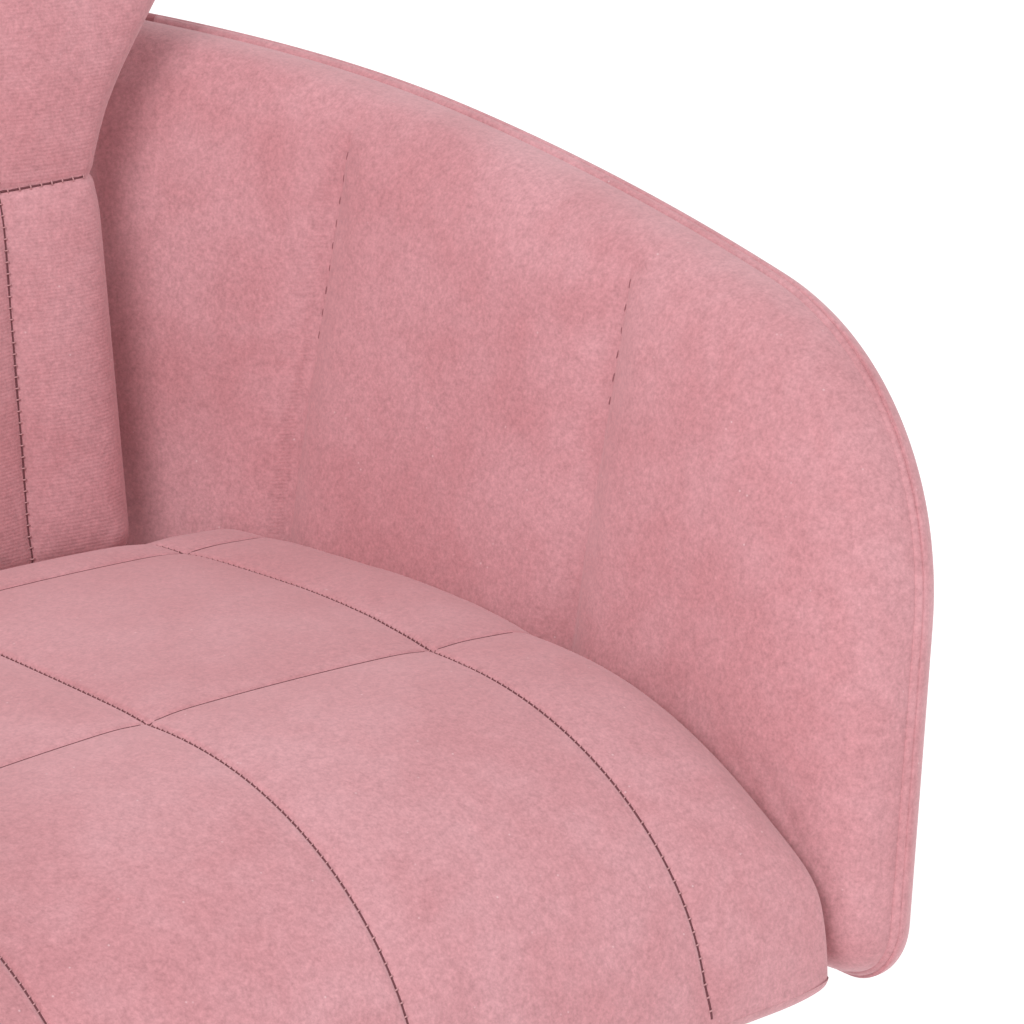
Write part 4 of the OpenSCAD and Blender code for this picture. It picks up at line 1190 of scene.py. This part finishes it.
def hard_finish(name, colour, second, mask, roughness, metallic=0.0, relief="Grain",
                strength=0.15, depth=0.2 * MM, specular=0.5, dust=0.1):
    """A finish whose colour and roughness wander with the wear masks."""
    material, shader = new_finish(name, colour, roughness[0], metallic, specular)
    tree = material.node_tree
    masks = use_group(material, wear)
    mixed = blend_colour(tree, masks.outputs[mask], (*colour, 1), (*second, 1))
    veil = maths(tree, "MULTIPLY", masks.outputs["Dust"], dust)
    dusty = blend_colour(tree, veil, mixed, (0.46, 0.44, 0.42, 1))
    tree.links.new(dusty, shader.inputs["Base Color"])
    matte = maths(tree, "ADD", masks.outputs["Smear"], maths(tree, "MULTIPLY", masks.outputs["Dust"], 0.8))
    tree.links.new(remap(tree, matte, 0, 1.4, roughness[0], roughness[1]), shader.inputs["Roughness"])
    tree.links.new(bump(tree, masks.outputs[relief], strength, depth), shader.inputs["Normal"])
    return material


print(len(wear_out.inputs) - 1, "wear masks")


# %% Plywood shows its layers at the edge and its grain on the face
wood, wood_out = group("veneer", (("Grain", "NodeSocketFloat"), ("Layer", "NodeSocketFloat")))
place = wood.nodes.new("ShaderNodeTexCoord").outputs["Object"]
stretch = wood.nodes.new("ShaderNodeMapping")
stretch.inputs["Scale"].default_value = (26, 3, 26)
wood.links.new(place, stretch.inputs["Vector"])
lines = noise(wood, stretch.outputs["Vector"], 4, 5, 0.65, 1.2)
wood.links.new(remap(wood, lines, 0.35, 0.66), wood_out.inputs["Grain"])
layers = wood.nodes.new("ShaderNodeTexWave")
layers.bands_direction = "Z"
layers.inputs["Scale"].default_value = 90
layers.inputs["Distortion"].default_value = 0.3
wood.links.new(place, layers.inputs["Vector"])
wood.links.new(layers.outputs["Fac"], wood_out.inputs["Layer"])


def plywood_finish():
    material, shader = new_finish("birch_ply", (0.56, 0.4, 0.23), 0.62, specular=0.3)
    tree = material.node_tree
    masks = use_group(material, wood)
    face = blend_colour(tree, masks.outputs["Grain"], (0.62, 0.46, 0.28, 1), (0.47, 0.31, 0.16, 1))
    layer = maths(tree, "MULTIPLY", masks.outputs["Layer"], 0.35)
    tree.links.new(blend_colour(tree, layer, face, (0.36, 0.23, 0.12, 1)), shader.inputs["Base Color"])
    tree.links.new(bump(tree, masks.outputs["Grain"], 0.25, 0.3 * MM), shader.inputs["Normal"])
    return material


print("veneer ready")

# %% A finish for every slot of the frame
finishes = {
    "velvet": velvet,
    "plywood": plywood_finish(),
    "chrome": hard_finish("bright_chrome", (0.78, 0.79, 0.81), (0.7, 0.71, 0.74), "Smear",
                          (0.05, 0.16), 1.0, strength=0.02),
    "machined_steel": hard_finish("turned_steel", (0.48, 0.49, 0.51), (0.36, 0.36, 0.38), "Smear",
                                  (0.24, 0.4), 1.0, "Rings", 0.3, 0.05 * MM),
    "painted_steel": hard_finish("black_enamel", (0.022, 0.023, 0.026), (0.045, 0.046, 0.049), "Smear",
                                 (0.32, 0.5), strength=0.12),
    "cast_body": hard_finish("sand_casting", (0.035, 0.036, 0.04), (0.06, 0.061, 0.064), "Smear",
                             (0.55, 0.75), strength=0.7, depth=0.6 * MM),
    "ballast": hard_finish("rough_iron", (0.12, 0.12, 0.125), (0.17, 0.11, 0.08), "Smear",
                           (0.6, 0.85), 0.6, strength=0.6, depth=0.5 * MM),
    "bronze": hard_finish("bearing_bronze", (0.47, 0.31, 0.13), (0.35, 0.21, 0.09), "Smear",
                          (0.25, 0.42), 1.0, "Rings", 0.2, 0.05 * MM),
    "rubber": hard_finish("black_rubber", (0.02, 0.02, 0.022), (0.045, 0.045, 0.047), "Smear",
                          (0.7, 0.9), strength=0.35, specular=0.3, dust=0.25),
    "plastic": hard_finish("black_plastic", (0.025, 0.025, 0.028), (0.05, 0.05, 0.052), "Edge",
                           (0.42, 0.6), strength=0.3, specular=0.4, dust=0.15),
    "zinc_fastener": hard_finish("zinc_plate", (0.55, 0.56, 0.58), (0.42, 0.42, 0.4), "Smear",
                                 (0.28, 0.45), 1.0, strength=0.1),
}
for name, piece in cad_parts.items():
    for place in piece.material_slots:
        place.material = finishes[place.material.name.split(".")[0]]
print(len(finishes), "finishes on", len(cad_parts), "nodes")
